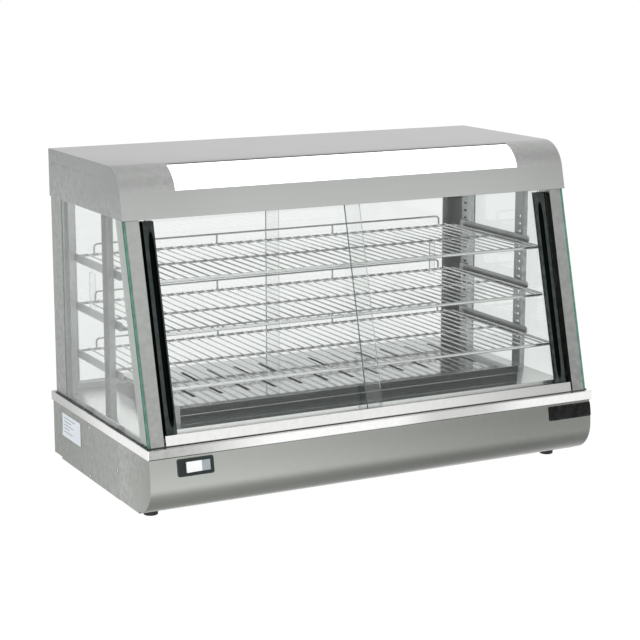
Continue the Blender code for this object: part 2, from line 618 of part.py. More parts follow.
def make_shelf(level):
    """Wire grid: thick rim rails, thin wires front to back, a middle rail, and a raised fence at the back."""
    bottom, front = SHELVES[level]
    z0 = bottom + 0.0015 + GAP
    z1 = z0 + RAIL
    half, rear = SHELF_HALF, SHELF_REAR_Y
    middle = ((front + rear) / 2, (front + rear) / 2 + 0.004)
    origin = (0, (front + rear) / 2, z0)
    grid = boxes(f"shelf_{level}", [((-half, half), (front, rear), (z0, z1))], chrome(), origin)
    bays = [(front + RAIL, middle[0]), (middle[1], rear - RAIL)]
    inner = half - RAIL
    pitch = (2 * inner + WIRE) / (WIRE_COUNT + 1)
    holes = []
    for i in range(WIRE_COUNT + 1):
        x0 = -inner + pitch * i
        for bay in bays:
            holes.append(((x0, x0 + pitch - WIRE), bay, (z0 - 0.01, z1 + 0.01)))
    boolean(grid, boxes(f"bays_{level}", holes, chrome()))

    # The raised fence is one bent wire: rail, two ends and two stays, as one flat outline.
    foot, top, thick = z1 + GAP, z1 + 0.0195, 0.0032
    stays = [-FENCE_HALF, -0.128, 0.128, FENCE_HALF]
    outline = [(-FENCE_HALF - thick / 2, foot), (-FENCE_HALF - thick / 2, top),
               (FENCE_HALF + thick / 2, top), (FENCE_HALF + thick / 2, foot)]
    for left, right in ((stays[2], stays[3]), (stays[1], stays[2]), (stays[0], stays[1])):
        outline += [(right - thick / 2, foot), (right - thick / 2, top - thick), (left + thick / 2, top - thick),
                    (left + thick / 2, foot)]
    prism(f"fence_{level}", outline, "Y", rear - 0.0042, rear - 0.0042 + thick, chrome(), origin)
    return grid


# ---- hood ---------------------------------------------------------------------------------------
def hood_curve():
    """Centre of the hood's front curve, and where it runs into the sloping band, as an angle."""
    lip_y, lip_z = HOOD_LIP_Y, HOOD_BOTTOM
    corner_y = lip_y + LEAN * (HOOD_TOP - lip_z)
    run = HOOD_RADIUS / math.tan(math.radians(90 + math.degrees(math.atan(LEAN))) / 2)
    return (corner_y + run, HOOD_TOP - HOOD_RADIUS), 180 - math.degrees(math.atan(LEAN))


def hood_outline(inset, drop=0.0):
    """(y, z) outline: lower front edge, up the band, round the curve, back along the top."""
    centre, end = hood_curve()
    bottom = HOOD_BOTTOM - drop
    lip = HOOD_LIP_Y + inset / LEAN_COS - LEAN * drop
    points = [(lip, bottom)] + arc(centre, HOOD_RADIUS - inset, end, 90, 10)
    return points + [(HOOD_BACK_Y - inset, HOOD_TOP - inset), (HOOD_BACK_Y - inset, bottom)]


def make_hood():
    shell = prism("hood_shell", hood_outline(0.0), "X", -HOOD_HALF, HOOD_HALF, steel())
    hollow = prism("hood_hollow", hood_outline(SHEET, 0.01), "X", -HOOD_HALF + SHEET, HOOD_HALF - SHEET, steel())
    boolean(shell, hollow)
    centre, _ = hood_curve()
    start, end = 90 + WINDOW_FROM, 90 + WINDOW_TO
    window = arc(centre, HOOD_RADIUS + 0.01, end, start, 6) + arc(centre, HOOD_RADIUS - 0.006, start, end, 6)
    boolean(shell, prism("hood_window", window, "X", -WINDOW_HALF, WINDOW_HALF, steel()))
    smooth(shell, 20)

    lap, clear = 5.0, SHEET + 0.0004
    pane = arc(centre, HOOD_RADIUS - clear, end + lap, start - lap, 9)
    pane += arc(centre, HOOD_RADIUS - clear - 0.003, start - lap, end + lap, 9)
    smooth(prism("light_diffuser", pane, "X", -WINDOW_HALF - 0.008, WINDOW_HALF + 0.008,
                 material("opal_diffuser", (0.95, 0.97, 0.98), 0.3, 0.0, 0.3, 2.0)), 20)

    ceiling = 0.5484
    half = HOOD_HALF - SHEET - 0.0006
    panel = boxes("hood_ceiling", [((-half, half), (0.166, HOOD_BACK_Y - SHEET - 0.0006), (ceiling, ceiling + SHEET))],
                  steel())
    lamp = (centre[0] - 0.010, 0.5790)
    turned("lamp_tube", [(0.0068, -0.330), (0.0080, -0.328), (0.0080, 0.328), (0.0068, 0.330)],
           material("lamp_glass", (1.0, 1.0, 0.97), 0.3, 0.0, 0.0, 4.0), (0, *lamp), (1, 0, 0), 12)
    for side, label in ((-1, "left"), (1, "right")):
        spans = [(sided(side, 0.3305, 0.3430), (lamp[0] - 0.010, lamp[0] + 0.016),
                  (ceiling + SHEET + GAP, lamp[1] + 0.010))]
        boxes(f"lamp_holder_{label}", spans, material("white_plastic", (0.82, 0.84, 0.84), 0.35))
    return panel


def main():
    global case
    for obj in list(bpy.data.objects):
        bpy.data.objects.remove(obj, do_unlink=True)
    case = bpy.data.objects.new("case_centre", None)
    bpy.context.collection.objects.link(case)
    case.location = (0, (SWITCH_PROUD - TRIM_DEPTH) / 2, 0)

    make_front_panel()
    make_base_pan()
    make_back_panel()
    make_trim_frame()
    make_feet()
    make_switch()
    make_badge()
    make_label()
    make_thermostat()
    make_gland()
    make_deck()
    make_heater()
    make_front_tracks()
    make_front_door("left", INNER_T, LEFT_DOOR_EDGE, -1)
    make_front_door("right", OUTER_T, RIGHT_DOOR_EDGE, 1)
    make_rear_doors()
    for side, label in ((-1, "left"), (1, "right")):
        make_side_panel(side, label)
        make_front_post(side, label)
        make_rear_post(side, label)
        make_side_glass(side, label)
        for row in UPRIGHT_YS:
            make_upright(side, label, row)
        for level in SHELVES:
            make_bracket(side, label, level)
    for level in SHELVES:
        make_shelf(level)
    make_hood()


main()
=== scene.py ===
import math

import bmesh
import bpy
from mathutils import Matrix, Vector


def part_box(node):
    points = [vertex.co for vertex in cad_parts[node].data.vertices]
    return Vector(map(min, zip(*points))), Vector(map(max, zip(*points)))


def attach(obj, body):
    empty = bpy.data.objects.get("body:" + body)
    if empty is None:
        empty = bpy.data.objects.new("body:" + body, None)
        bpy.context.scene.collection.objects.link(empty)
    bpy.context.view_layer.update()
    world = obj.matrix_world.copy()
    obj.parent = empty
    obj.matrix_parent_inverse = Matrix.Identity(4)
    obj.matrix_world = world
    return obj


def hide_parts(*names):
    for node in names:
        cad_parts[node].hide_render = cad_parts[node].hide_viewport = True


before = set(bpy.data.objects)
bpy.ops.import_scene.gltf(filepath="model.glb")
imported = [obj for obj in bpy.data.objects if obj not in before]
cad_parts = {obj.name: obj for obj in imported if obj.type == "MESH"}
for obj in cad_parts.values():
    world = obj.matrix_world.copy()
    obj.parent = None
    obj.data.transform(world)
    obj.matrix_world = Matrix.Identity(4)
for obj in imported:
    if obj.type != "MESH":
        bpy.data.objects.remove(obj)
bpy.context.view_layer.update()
print("frame loaded")

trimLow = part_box("trim_frame")[0]
hoodLow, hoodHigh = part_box("hood_shell")
frontY = trimLow.y          # front edge of the trim frame: depths below are measured back from it

# The sloping front leans back between these two heights.
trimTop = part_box("front_sill")[0].z - 0.0003
slope = {"lowDepth": 0.012, "lowZ": trimTop, "highDepth": 0.108, "highZ": hoodLow.z}
slopeRise = (slope["highDepth"] - slope["lowDepth"]) / (slope["highZ"] - slope["lowZ"])
slopeCos = math.cos(math.atan(slopeRise))


def leanY(depth, z):
    return frontY + slope["lowDepth"] + slopeRise * (z - slope["lowZ"]) + depth / slopeCos


def arcPoints(centre, radius, start, end, steps):
    angles = [math.radians(start + (end - start) * i / steps) for i in range(steps + 1)]
    return [(centre[0] + radius * math.cos(a), centre[1] + radius * math.sin(a)) for a in angles]


# Camera first, then the soft room round it.
cameraLook = {"place": (-1.58808, -3.00917, 0.99264), "turn": (78.19, 0.0, -27.738), "lens": 102.66}


def makeCamera():
    data = bpy.data.cameras.new("camera")
    data.lens = cameraLook["lens"]
    data.sensor_width = 36.0
    data.clip_end = 60.0
    camera = bpy.data.objects.new("camera", data)
    camera.location = cameraLook["place"]
    camera.rotation_euler = [math.radians(a) for a in cameraLook["turn"]]
    bpy.context.scene.collection.objects.link(camera)
    bpy.context.scene.camera = camera


makeCamera()
print("camera placed")


# Small helpers for shader trees.
def feed(tree, socket, value):
    if isinstance(value, bpy.types.NodeSocket):
        tree.links.new(value, socket)
    else:
        socket.default_value = value


def addNode(tree, kind, sockets=None, **settings):
    node = tree.nodes.new("ShaderNode" + kind)
    for key, value in settings.items():
        setattr(node, key, value)
    for key, value in (sockets or {}).items():
        feed(tree, node.inputs[key], value)
    return node


def addMath(tree, operation, first, second=0.0, clamp=False):
    return addNode(tree, "Math", {0: first, 1: second}, operation=operation, use_clamp=clamp).outputs[0]


def plus(tree, first, second, clamp=False):
    return addMath(tree, "ADD", first, second, clamp)


def times(tree, first, second, clamp=False):
    return addMath(tree, "MULTIPLY", first, second, clamp)


def addRange(tree, value, low, high, toLow=0.0, toHigh=1.0, **settings):
    sockets = {"Value": value, "From Min": low, "From Max": high, "To Min": toLow, "To Max": toHigh}
    return addNode(tree, "MapRange", sockets, **settings).outputs["Result"]


def addNoise(tree, place, scale, detail, **sockets):
    sockets.update({"Vector": place, "Scale": scale, "Detail": detail})
    return addNode(tree, "TexNoise", sockets).outputs[0]


def scaled(tree, values, factor):
    return addNode(tree, "VectorMath", {0: values, "Scale": factor}, operation="SCALE").outputs[0]


def mixedColour(tree, factor, first, second):
    return addNode(tree, "Mix", {0: factor, 6: first, 7: second}, data_type="RGBA").outputs[2]


def objectPlace(tree):
    return addNode(tree, "TexCoord").outputs["Object"]


# A group's sockets take their kind from their starting values.
def startGroup(name, inputs, outputs):
    group = bpy.data.node_groups.new(name, "ShaderNodeTree")
    for label, value in inputs.items():
        kind = "Float" if isinstance(value, float) else "Color" if len(value) == 4 else "Vector"
        socket = group.interface.new_socket(name=label, in_out="INPUT", socket_type="NodeSocket" + kind)
        socket.default_value = value
    for label in outputs:
        kind = "Color" if label == "Colour" else "Float"
        group.interface.new_socket(name=label, in_out="OUTPUT", socket_type="NodeSocket" + kind)
    return group, group.nodes.new("NodeGroupInput").outputs, group.nodes.new("NodeGroupOutput").inputs


def endGroup(group, out, results):
    for label, socket in results.items():
        group.links.new(socket, out[label])
    return group


midGrey, nearBlack = (0.5, 0.5, 0.5, 1), (0.02, 0.02, 0.02, 1)


def brushedGrainGroup():
    group, given, out = startGroup(
        "brushedGrain", {"Colour": midGrey, "Stretch": (4, 600, 600), "Streaks": 0.1, "Clouds": 0.05,
                         "Roughness": 0.35, "Spread": 0.08}, ("Colour", "Roughness", "Height"))
    place = objectPlace(group)
    along = addNode(group, "VectorMath", {0: place, 1: given["Stretch"]}, operation="MULTIPLY").outputs[0]
    fine = addNoise(group, along, 1.0, 3.0, Roughness=0.6)
    broad = addNoise(group, scaled(group, along, 0.13), 1.0, 2.0)
    lines = addMath(group, "SUBTRACT", times(group, plus(group, fine, broad), 0.5), 0.5)
    patch = addMath(group, "SUBTRACT", addNoise(group, place, 5.0, 2.0), 0.5)
    shade = plus(group, times(group, lines, given["Streaks"]), times(group, patch, given["Clouds"]))
    rough = times(group, plus(group, lines, patch), given["Spread"])
    return endGroup(group, out, {"Colour": scaled(group, given["Colour"], plus(group, shade, 1.0)),
                                 "Roughness": plus(group, given["Roughness"], rough, True), "Height": fine})


def edgeWearGroup():
    group, given, out = startGroup(
        "edgeWear", {"Colour": midGrey, "Worn": (0.8, 0.8, 0.8, 1), "Amount": 0.4, "Scale": 90.0},
        ("Colour", "Mask"))
    edge = addNode(group, "NewGeometry").outputs["Pointiness"]
    broken = addNoise(group, objectPlace(group), given["Scale"], 3.0)
    ridge = times(group, addRange(group, edge, 0.52, 0.62), addRange(group, broken, 0.35, 0.65))
    mask = times(group, ridge, given["Amount"], True)
    tone = mixedColour(group, mask, given["Colour"], given["Worn"])
    return endGroup(group, out, {"Colour": tone, "Mask": mask})


def fingerprintsGroup():
    group, given, out = startGroup(
        "fingerprints", {"Roughness": 0.3, "Amount": 0.1, "Scale": 14.0}, ("Roughness", "Mask"))
    place = objectPlace(group)
    spots = addNoise(group, place, given["Scale"], 2.0, Distortion=0.8)
    ridges = addNode(group, "TexWave", {"Vector": place, "Scale": 240.0, "Distortion": 6.0, "Detail": 1.0},
                     wave_type="RINGS").outputs["Fac"]
    mask = times(group, addRange(group, spots, 0.55, 0.68), addRange(group, ridges, 0.0, 1.0, 0.5, 1.0))
    rough = plus(group, given["Roughness"], times(group, mask, given["Amount"]), True)
    return endGroup(group, out, {"Roughness": rough, "Mask": mask})


def mouldedSkinGroup():
    group, given, out = startGroup(
        "mouldedSkin", {"Colour": nearBlack, "Scale": 900.0, "Mottle": 0.15, "Roughness": 0.4, "Spread": 0.1},
        ("Colour", "Roughness", "Height"))
    place = objectPlace(group)
    fine = addNoise(group, place, given["Scale"], 2.0)
    both = addMath(group, "SUBTRACT", plus(group, fine, addNoise(group, place, 22.0, 3.0)), 1.0)
    shade = plus(group, times(group, both, given["Mottle"]), 1.0)
    rough = plus(group, given["Roughness"], times(group, both, given["Spread"]), True)
    return endGroup(group, out, {"Colour": scaled(group, given["Colour"], shade), "Roughness": rough,
                                 "Height": fine})


def dustGroup():
    group, given, out = startGroup(
        "settledDust", {"Colour": nearBlack, "Dust": (0.55, 0.53, 0.5, 1), "Amount": 0.1}, ("Colour", "Mask"))
    up = addNode(group, "SeparateXYZ", {0: addNode(group, "NewGeometry").outputs["Normal"]}).outputs["Z"]
    specks = addNoise(group, objectPlace(group), 160.0, 4.0)
    lying = times(group, addRange(group, up, 0.3, 1.0), addRange(group, specks, 0.4, 0.7))
    mask = times(group, lying, given["Amount"], True)
    tone = mixedColour(group, mask, given["Colour"], given["Dust"])
    return endGroup(group, out, {"Colour": tone, "Mask": mask})


# Painted light: scales a colour by where a point lies along one direction, a painted gradient of reflected
# light and shade across a surface.
def paintedLightGradientGroup():
    group, given, out = startGroup(
        "paintedLightGradient", {"Colour": midGrey, "Along": (1, 0, 0), "From": 0.0, "To": 1.0, "Low": 1.0,
                       "High": 1.0}, ("Colour",))
    place = addNode(group, "NewGeometry").outputs["Position"]
    along = addNode(group, "VectorMath", {0: place, 1: given["Along"]}, operation="DOT_PRODUCT")
    share = addRange(group, along.outputs["Value"], given["From"], given["To"], given["Low"],
                     given["High"], interpolation_type="SMOOTHSTEP")
    return endGroup(group, out, {"Colour": scaled(group, given["Colour"], share)})


effects = {group.name: group for group in (brushedGrainGroup(), edgeWearGroup(), fingerprintsGroup(),
                                           mouldedSkinGroup(), dustGroup(), paintedLightGradientGroup())}
print("shader effects ready")


def addEffect(tree, name, **sockets):
    return addNode(tree, "Group", sockets, node_tree=effects[name]).outputs


def newMaterial(name, sockets):
    material = bpy.data.materials.new(name)
    material.use_nodes = True
    shader = material.node_tree.nodes["Principled BSDF"]
    for label, value in sockets.items():
        shader.inputs[label].default_value = value
    return material, material.node_tree, shader


def dressShader(tree, shader, sources, height=None, strength=0.0):
    if height:
        bump = addNode(tree, "Bump", {"Strength": strength, "Distance": 0.0002, "Height": height})
        sources["Normal"] = bump.outputs[0]
    for label, socket in sources.items():
        tree.links.new(socket, shader.inputs[label])


def colour(values):
    return (*values, 1.0)


acrossGrain, deepGrain, uprightGrain = (3, 700, 700), (700, 3, 700), (700, 700, 3)
alongX, alongY, alongZ = (1, 0, 0), (0, 1, 0), (0, 0, 1)


def makeMetal(name, look):
    material, tree, shader = newMaterial(name, {"Metallic": 1.0})
    grain = addEffect(tree, "brushedGrain", Colour=colour(look["colour"]),
                      Stretch=look.get("grain", acrossGrain), Streaks=look.get("streaks", 0.10),
                      Clouds=look.get("clouds", 0.02), Roughness=look["roughness"],
                      Spread=look.get("spread", 0.04))
    tone = grain["Colour"]
    # Each ramp paints reflected light and shade into the colour along one axis.
    for along, start, end, low, high in look.get("paintedLightRamps", ()):
        tone = addEffect(tree, "paintedLightGradient", Colour=tone, Along=along, From=start, To=end, Low=low,
                         High=high)["Colour"]
    worn = addEffect(tree, "edgeWear", Colour=tone, Worn=colour(look.get("worn", (0.75, 0.75, 0.74))),
                     Amount=look.get("wear", 0.35))
    prints = addEffect(tree, "fingerprints", Roughness=grain["Roughness"], Amount=look.get("prints", 0.02))
    dressShader(tree, shader, {"Base Color": worn["Colour"], "Roughness": prints["Roughness"]},
                grain["Height"], look.get("bump", 0.01))
    return material


def makePlastic(name, look):
    material, tree, shader = newMaterial(name, {"Coat Roughness": 0.15,
                                                "Specular IOR Level": look.get("specular", 0.5)})
    skin = addEffect(tree, "mouldedSkin", Colour=colour(look["colour"]), Scale=look.get("scale", 900.0),
                     Mottle=look.get("mottle", 0.15), Roughness=look["roughness"], Spread=0.1)
    worn = addEffect(tree, "edgeWear", Colour=skin["Colour"], Worn=colour(look.get("worn", (0.2, 0.2, 0.2))),
                     Amount=look.get("wear", 0.3))
    dusty = addEffect(tree, "settledDust", Colour=worn["Colour"], Amount=look.get("dust", 0.08))
    prints = addEffect(tree, "fingerprints", Roughness=skin["Roughness"], Amount=look.get("prints", 0.08))
    dressShader(tree, shader, {"Base Color": dusty["Colour"], "Roughness": prints["Roughness"]},
                skin["Height"], look.get("bump", 0.15))
    return material


def makeClearGlass(name, look):
    # Shadow rays pass straight through, so the lamps and the room light what stands behind the glass.
    tint = colour(look["tint"])
    material, tree, shader = newMaterial(name, {"Base Color": tint, "Transmission Weight": 1.0,
                                                "IOR": look.get("ior", 1.5)})
    prints = addEffect(tree, "fingerprints", Roughness=look["roughness"], Amount=look["prints"], Scale=9.0)
    dressShader(tree, shader, {"Roughness": prints["Roughness"]})
    clear = addNode(tree, "BsdfTransparent", {"Color": tint})
    shadow = addNode(tree, "LightPath").outputs["Is Shadow Ray"]
    mix = addNode(tree, "MixShader", {0: shadow, 1: shader.outputs[0], 2: clear.outputs[0]})
    tree.links.new(mix.outputs[0], tree.nodes["Material Output"].inputs["Surface"])
    return material


def makeGlow(name, look):
    material, tree, shader = newMaterial(name, {"Emission Strength": look["strength"]})
    skin = addEffect(tree, "mouldedSkin", Colour=colour(look["colour"]), Scale=60.0, Mottle=0.03,
                     Roughness=0.35, Spread=0.05)
    dressShader(tree, shader, {"Base Color": skin["Colour"], "Emission Color": skin["Colour"],
                               "Roughness": skin["Roughness"]})
    return material


# Each steel's ramps paint reflected light and shade into its colour, making it lighter or darker along an axis.
metalLooks = {
    "satinSteelAcross": {"colour": (0.505, 0.515, 0.505), "roughness": 0.36,
                         "paintedLightRamps": ((alongX, -0.46, -0.15, 0.94, 1.0),)},
    # The hood's front band and end plates are the same steel as its top: the band's copy has its own painted
    # reflection ramp, and the end plates' copy is darker with a ramp, painted shade.
    "hoodFrontPaintedReflection": {"colour": (0.505, 0.515, 0.505), "roughness": 0.36,
                       "paintedLightRamps": ((alongX, -0.46, -0.20, 0.99, 1.13), (alongX, 0.20, 0.46, 1.0, 0.92))},
    "satinSteelDeepShaded": {"colour": (0.440, 0.458, 0.449), "roughness": 0.38, "grain": deepGrain,
                       "paintedLightRamps": ((alongY, -0.15, 0.24, 1.0, 0.80),)},
    "satinSteelUpright": {"colour": (0.47, 0.49, 0.47), "roughness": 0.36, "grain": uprightGrain,
                          "paintedLightRamps": ((alongX, -0.40, 0.40, 1.0, 0.80), (alongZ, 0.14, 0.50, 0.84, 1.0))},
    # Rear posts: a darker copy of the upright steel that brightens towards the right, painted shade and painted
    # reflection.
    "rearPostPaintedLightSteel": {"colour": (0.375, 0.393, 0.377), "roughness": 0.36, "grain": uprightGrain,
                      "paintedLightRamps": ((alongX, -0.35, 0.35, 1.0, 1.7), (alongZ, 0.14, 0.50, 0.88, 1.0))},
    "bellySteel": {"colour": (0.370, 0.384, 0.357), "roughness": 0.30, "streaks": 0.08,
                   "paintedLightRamps": ((alongX, -0.46, 0.46, 1.24, 0.76),)},
    "baseSteel": {"colour": (0.362, 0.380, 0.353), "roughness": 0.36, "grain": deepGrain,
                  "paintedLightRamps": ((alongY, -0.24, 0.24, 1.10, 0.78),)},
    # The trim's ramps paint its reflections: its left end face at full brightness, the front darker near its
    # left end and again right of the middle, and darker towards the back.
    "brightTrimSteel": {"colour": (1.0, 1.0, 0.99), "roughness": 0.16, "streaks": 0.02, "clouds": 0.02,
                        "bump": 0.02,
                        "paintedLightRamps": ((alongX, -0.4580, -0.4579, 1.0, 0.42), (alongX, -0.44, -0.18, 1.0, 2.38),
                                   (alongX, 0.02, 0.12, 1.0, 0.66), (alongX, 0.20, 0.32, 1.0, 1.52),
                                   (alongY, -0.12, 0.20, 1.0, 0.52))},
    "sillAluminium": {"colour": (0.99, 0.99, 0.98), "roughness": 0.24, "streaks": 0.02, "clouds": 0.01,
                      "bump": 0.02, "paintedLightRamps": ((alongX, 0.0, 0.44, 1.0, 0.62),)},
    "slottedSteel": {"colour": (0.42, 0.44, 0.43), "roughness": 0.34, "grain": uprightGrain},
    "shadedSteel": {"colour": (0.27, 0.29, 0.285), "roughness": 0.30, "grain": uprightGrain},
    "floorSteel": {"colour": (0.72, 0.73, 0.72), "roughness": 0.24, "streaks": 0.12},
    "coverSteel": {"colour": (0.54, 0.555, 0.55), "roughness": 0.06, "spread": 0.03, "streaks": 0.05},
    # A near-black sheet on the heater's front, a painted dark reflection, and a pale rod on its crease, a
    # painted highlight.
    "paintedDarkReflection": {"colour": (0.055, 0.075, 0.070), "roughness": 0.18, "wear": 0.0},
    "paintedCreaseHighlight": {"colour": (0.55, 0.57, 0.56), "roughness": 0.25},
    "trackAluminium": {"colour": (0.62, 0.63, 0.63), "roughness": 0.30},
    "chromedWire": {"colour": (0.50, 0.515, 0.51), "roughness": 0.16, "streaks": 0.03, "clouds": 0.08,
                    "bump": 0.02},
    # A brighter copy of the chromed wire for the front rail, the rim's front run and the nubs: a painted
    # highlight.
    "chromedWireHighlight": {"colour": (0.78, 0.80, 0.79), "roughness": 0.14, "streaks": 0.03, "clouds": 0.05,
                    "bump": 0.02},
    "screwSteel": {"colour": (0.78, 0.77, 0.74), "roughness": 0.22},
    "elementSheath": {"colour": (0.20, 0.19, 0.18), "roughness": 0.50, "clouds": 0.3},
}
plasticLooks = {
    "blackPlastic": {"colour": (0.012, 0.020, 0.018), "roughness": 0.42, "specular": 0.35},
    "handleProfile": {"colour": (0.014, 0.026, 0.022), "roughness": 0.36, "scale": 500.0, "specular": 0.35},
    # Darker, matt black for the handle's groove and rebate: painted shade in the recesses.
    "grooveAndRebateShade": {"colour": (0.001, 0.002, 0.002), "roughness": 0.60, "specular": 0.04, "wear": 0.0},
    "badgeBlack": {"colour": (0.002, 0.002, 0.002), "roughness": 0.35, "specular": 0.15, "prints": 0.03},
    "blackRubber": {"colour": (0.010, 0.010, 0.010), "roughness": 0.75, "bump": 0.3, "dust": 0.2},
    "bakeliteBrown": {"colour": (0.05, 0.045, 0.04), "roughness": 0.4},
    "whiteRocker": {"colour": (0.90, 0.91, 0.91), "roughness": 0.30, "mottle": 0.02, "worn": (0.7, 0.7, 0.7)},
    "greyRocker": {"colour": (0.33, 0.38, 0.40), "roughness": 0.30, "mottle": 0.03, "worn": (0.5, 0.5, 0.5)},
    "whitePlastic": {"colour": (0.80, 0.81, 0.80), "roughness": 0.35, "mottle": 0.03,
                     "worn": (0.6, 0.6, 0.6)},
    "labelFilm": {"colour": (0.74, 0.80, 0.86), "roughness": 0.40, "mottle": 0.03, "worn": (0.6, 0.6, 0.6)},
    # Dark ink for the label rules and dial ticks; the screws' cross recesses use it as painted shade.
    "printInkAndRecessShade": {"colour": (0.10, 0.12, 0.14), "roughness": 0.50},
    # Dark sealant for the window gasket; the same finish paints the shadow gaps above and below the trim.
    "sealantAndShadowStrip": {"colour": (0.035, 0.042, 0.040), "roughness": 0.45},
    "glassEdge": {"colour": (0.045, 0.19, 0.13), "roughness": 0.12, "mottle": 0.25, "worn": (0.25, 0.5, 0.4)},
    "doorEdge": {"colour": (0.08, 0.11, 0.10), "roughness": 0.15, "mottle": 0.25, "worn": (0.3, 0.4, 0.36)},
    "knobTicks": {"colour": (0.75, 0.76, 0.75), "roughness": 0.40},
}
glassLooks = {
    "doorGlass": {"tint": (0.94, 0.952, 0.946), "roughness": 0.0, "prints": 0.03},
    "sideGlass": {"tint": (0.86, 0.89, 0.875), "roughness": 0.0, "prints": 0.03},
    "pullPlastic": {"tint": (0.93, 0.95, 0.95), "roughness": 0.08, "prints": 0.05, "ior": 1.45},
}
glowLooks = {
    "opalGlow": {"colour": (0.97, 0.985, 1.0), "strength": 0.75},
    "lampGlow": {"colour": (1.0, 1.0, 0.97), "strength": 3.0},
}
finish = {}
for makeFinish, looks in ((makeMetal, metalLooks), (makePlastic, plasticLooks), (makeClearGlass, glassLooks),
                          (makeGlow, glowLooks)):
    for finishName, finishLook in looks.items():
        finish[finishName] = makeFinish(finishName, finishLook)
print("materials ready")


# Mesh helpers. Meshes are written where the piece stands, so every object sits at the origin.
def bridgeRings(bm, rings, kind=0, closed=False):
    count = len(rings[0])
    pairs = list(zip(rings, rings[1:])) + ([(rings[-1], rings[0])] if closed else [])
    made = []
    for low, high in pairs:
        for i in range(count):
            j = (i + 1) % count
            made.append(bm.faces.new((low[i], low[j], high[j], high[i])))
    if not closed:
        made += [bm.faces.new(rings[0][::-1]), bm.faces.new(rings[-1])]
    for face in made:
        face.material_index = kind
    return made


def addPrism(bm, outline, axis, low, high, kind=0):
    spot = {"X": lambda a, b, c: (c, a, b), "Y": lambda a, b, c: (a, c, b),
            "Z": lambda a, b, c: (a, b, c)}[axis]
    return bridgeRings(bm, [[bm.verts.new(spot(a, b, c)) for a, b in outline] for c in (low, high)], kind)


def addBlock(bm, spanX, spanY, spanZ, kind=0):
    (x0, x1), (y0, y1) = spanX, spanY
    return addPrism(bm, [(x0, y0), (x1, y0), (x1, y1), (x0, y1)], "Z", *spanZ, kind)


def addTube(bm, path, radius, sides=10, kind=0, closed=False):
    rings, across = [], None
    count = len(path)
    for i, point in enumerate(path):
        before = path[i - 1] if closed or i else path[0]
        after = path[(i + 1) % count] if closed or i < count - 1 else path[-1]
        ahead = (after - before).normalized()
        across = ahead.orthogonal() if across is None else across
        across = (across - ahead * across.dot(ahead)).normalized()
        other = ahead.cross(across)
        rings.append([bm.verts.new(point + (across * math.cos(a) + other * math.sin(a)) * radius)
                      for a in (2 * math.pi * k / sides for k in range(sides))])
    return bridgeRings(bm, rings, kind, closed=closed)


def addRod(bm, start, end, radius, sides=8, kind=0):
    return addTube(bm, [Vector(start), Vector(end)], radius, sides, kind)


def roundedPath(points, radius, steps, closed=False):
    points = [Vector(p) for p in points]
    count, path = len(points), []
    for i, point in enumerate(points):
        if not closed and i in (0, count - 1):
            path.append(point)
            continue
        before, after = points[i - 1], points[(i + 1) % count]
        start = point + (before - point).normalized() * min(radius, (before - point).length / 2)
        end = point + (after - point).normalized() * min(radius, (after - point).length / 2)
        for k in range(steps + 1):
            t = k / steps
            path.append(start * (1 - t) ** 2 + point * 2 * t * (1 - t) + end * t ** 2)
    return path


def addTurned(bm, profile, centre, axis, sides=32, kind=0):
    turn = Vector((0, 0, 1)).rotation_difference(Vector(axis)).to_matrix()
    angles = [2 * math.pi * k / sides for k in range(sides)]
    rings = []
    for radius, height in profile:
        points = [Vector((radius * math.cos(a), radius * math.sin(a), height)) for a in angles]
        rings.append([bm.verts.new(Vector(centre) + turn @ point) for point in points])
    return bridgeRings(bm, rings, kind)


def moveFaces(bm, faces, matrix):
    bmesh.ops.transform(bm, matrix=matrix, verts=list({v for face in faces for v in face.verts}))


def roundedRectangle(halfWide, halfHigh, radius, middle=(0.0, 0.0)):
    points = []
    for sx, sz, start in ((1, 1, 0), (-1, 1, 90), (-1, -1, 180), (1, -1, 270)):
        centre = (sx * (halfWide - radius), sz * (halfHigh - radius))
        points += arcPoints(centre, radius, start, start + 90, 6)
    return [(middle[0] + a, middle[1] + b) for a, b in points]


def middleOf(low, high):
    return [(a + b) / 2 for a, b in zip(low, high)]


def addColumns(bm, outline, xs):
    return [[bm.verts.new((x, y, z)) for y, z in outline] for x in xs]


def addStrip(bm, left, right, rows):
    for row in rows:
        bm.faces.new((left[row], right[row], right[row + 1], left[row + 1]))


def faceOutward(bm):
    bmesh.ops.recalc_face_normals(bm, faces=bm.faces[:])
    middle = sum((vert.co for vert in bm.verts), Vector()) / len(bm.verts)
    if sum(face.normal.dot(face.calc_center_median() - middle) * face.calc_area() for face in bm.faces) < 0:
        bmesh.ops.reverse_faces(bm, faces=bm.faces[:])


def foldedSheet(outline, low, high, rows):
    bm = bmesh.new()
    left, right = addColumns(bm, outline, (low, high))
    addStrip(bm, left, right, rows)
    for column in (left, right):
        bm.faces.new(column)
    faceOutward(bm)
    return bm


# The broad faces of a pane keep the first finish, and its edges take the second.
def markEdges(bm, faces, axis):
    bm.normal_update()
    for face in faces:
        face.material_index = 0 if abs(face.normal[axis]) > 0.8 else 1


def addRounding(piece, width, segments, angle):
    rounding = piece.modifiers.new("rounding", "BEVEL")
    rounding.width = width
    rounding.segments = segments
    rounding.limit_method = "ANGLE"
    rounding.angle_limit = math.radians(angle)


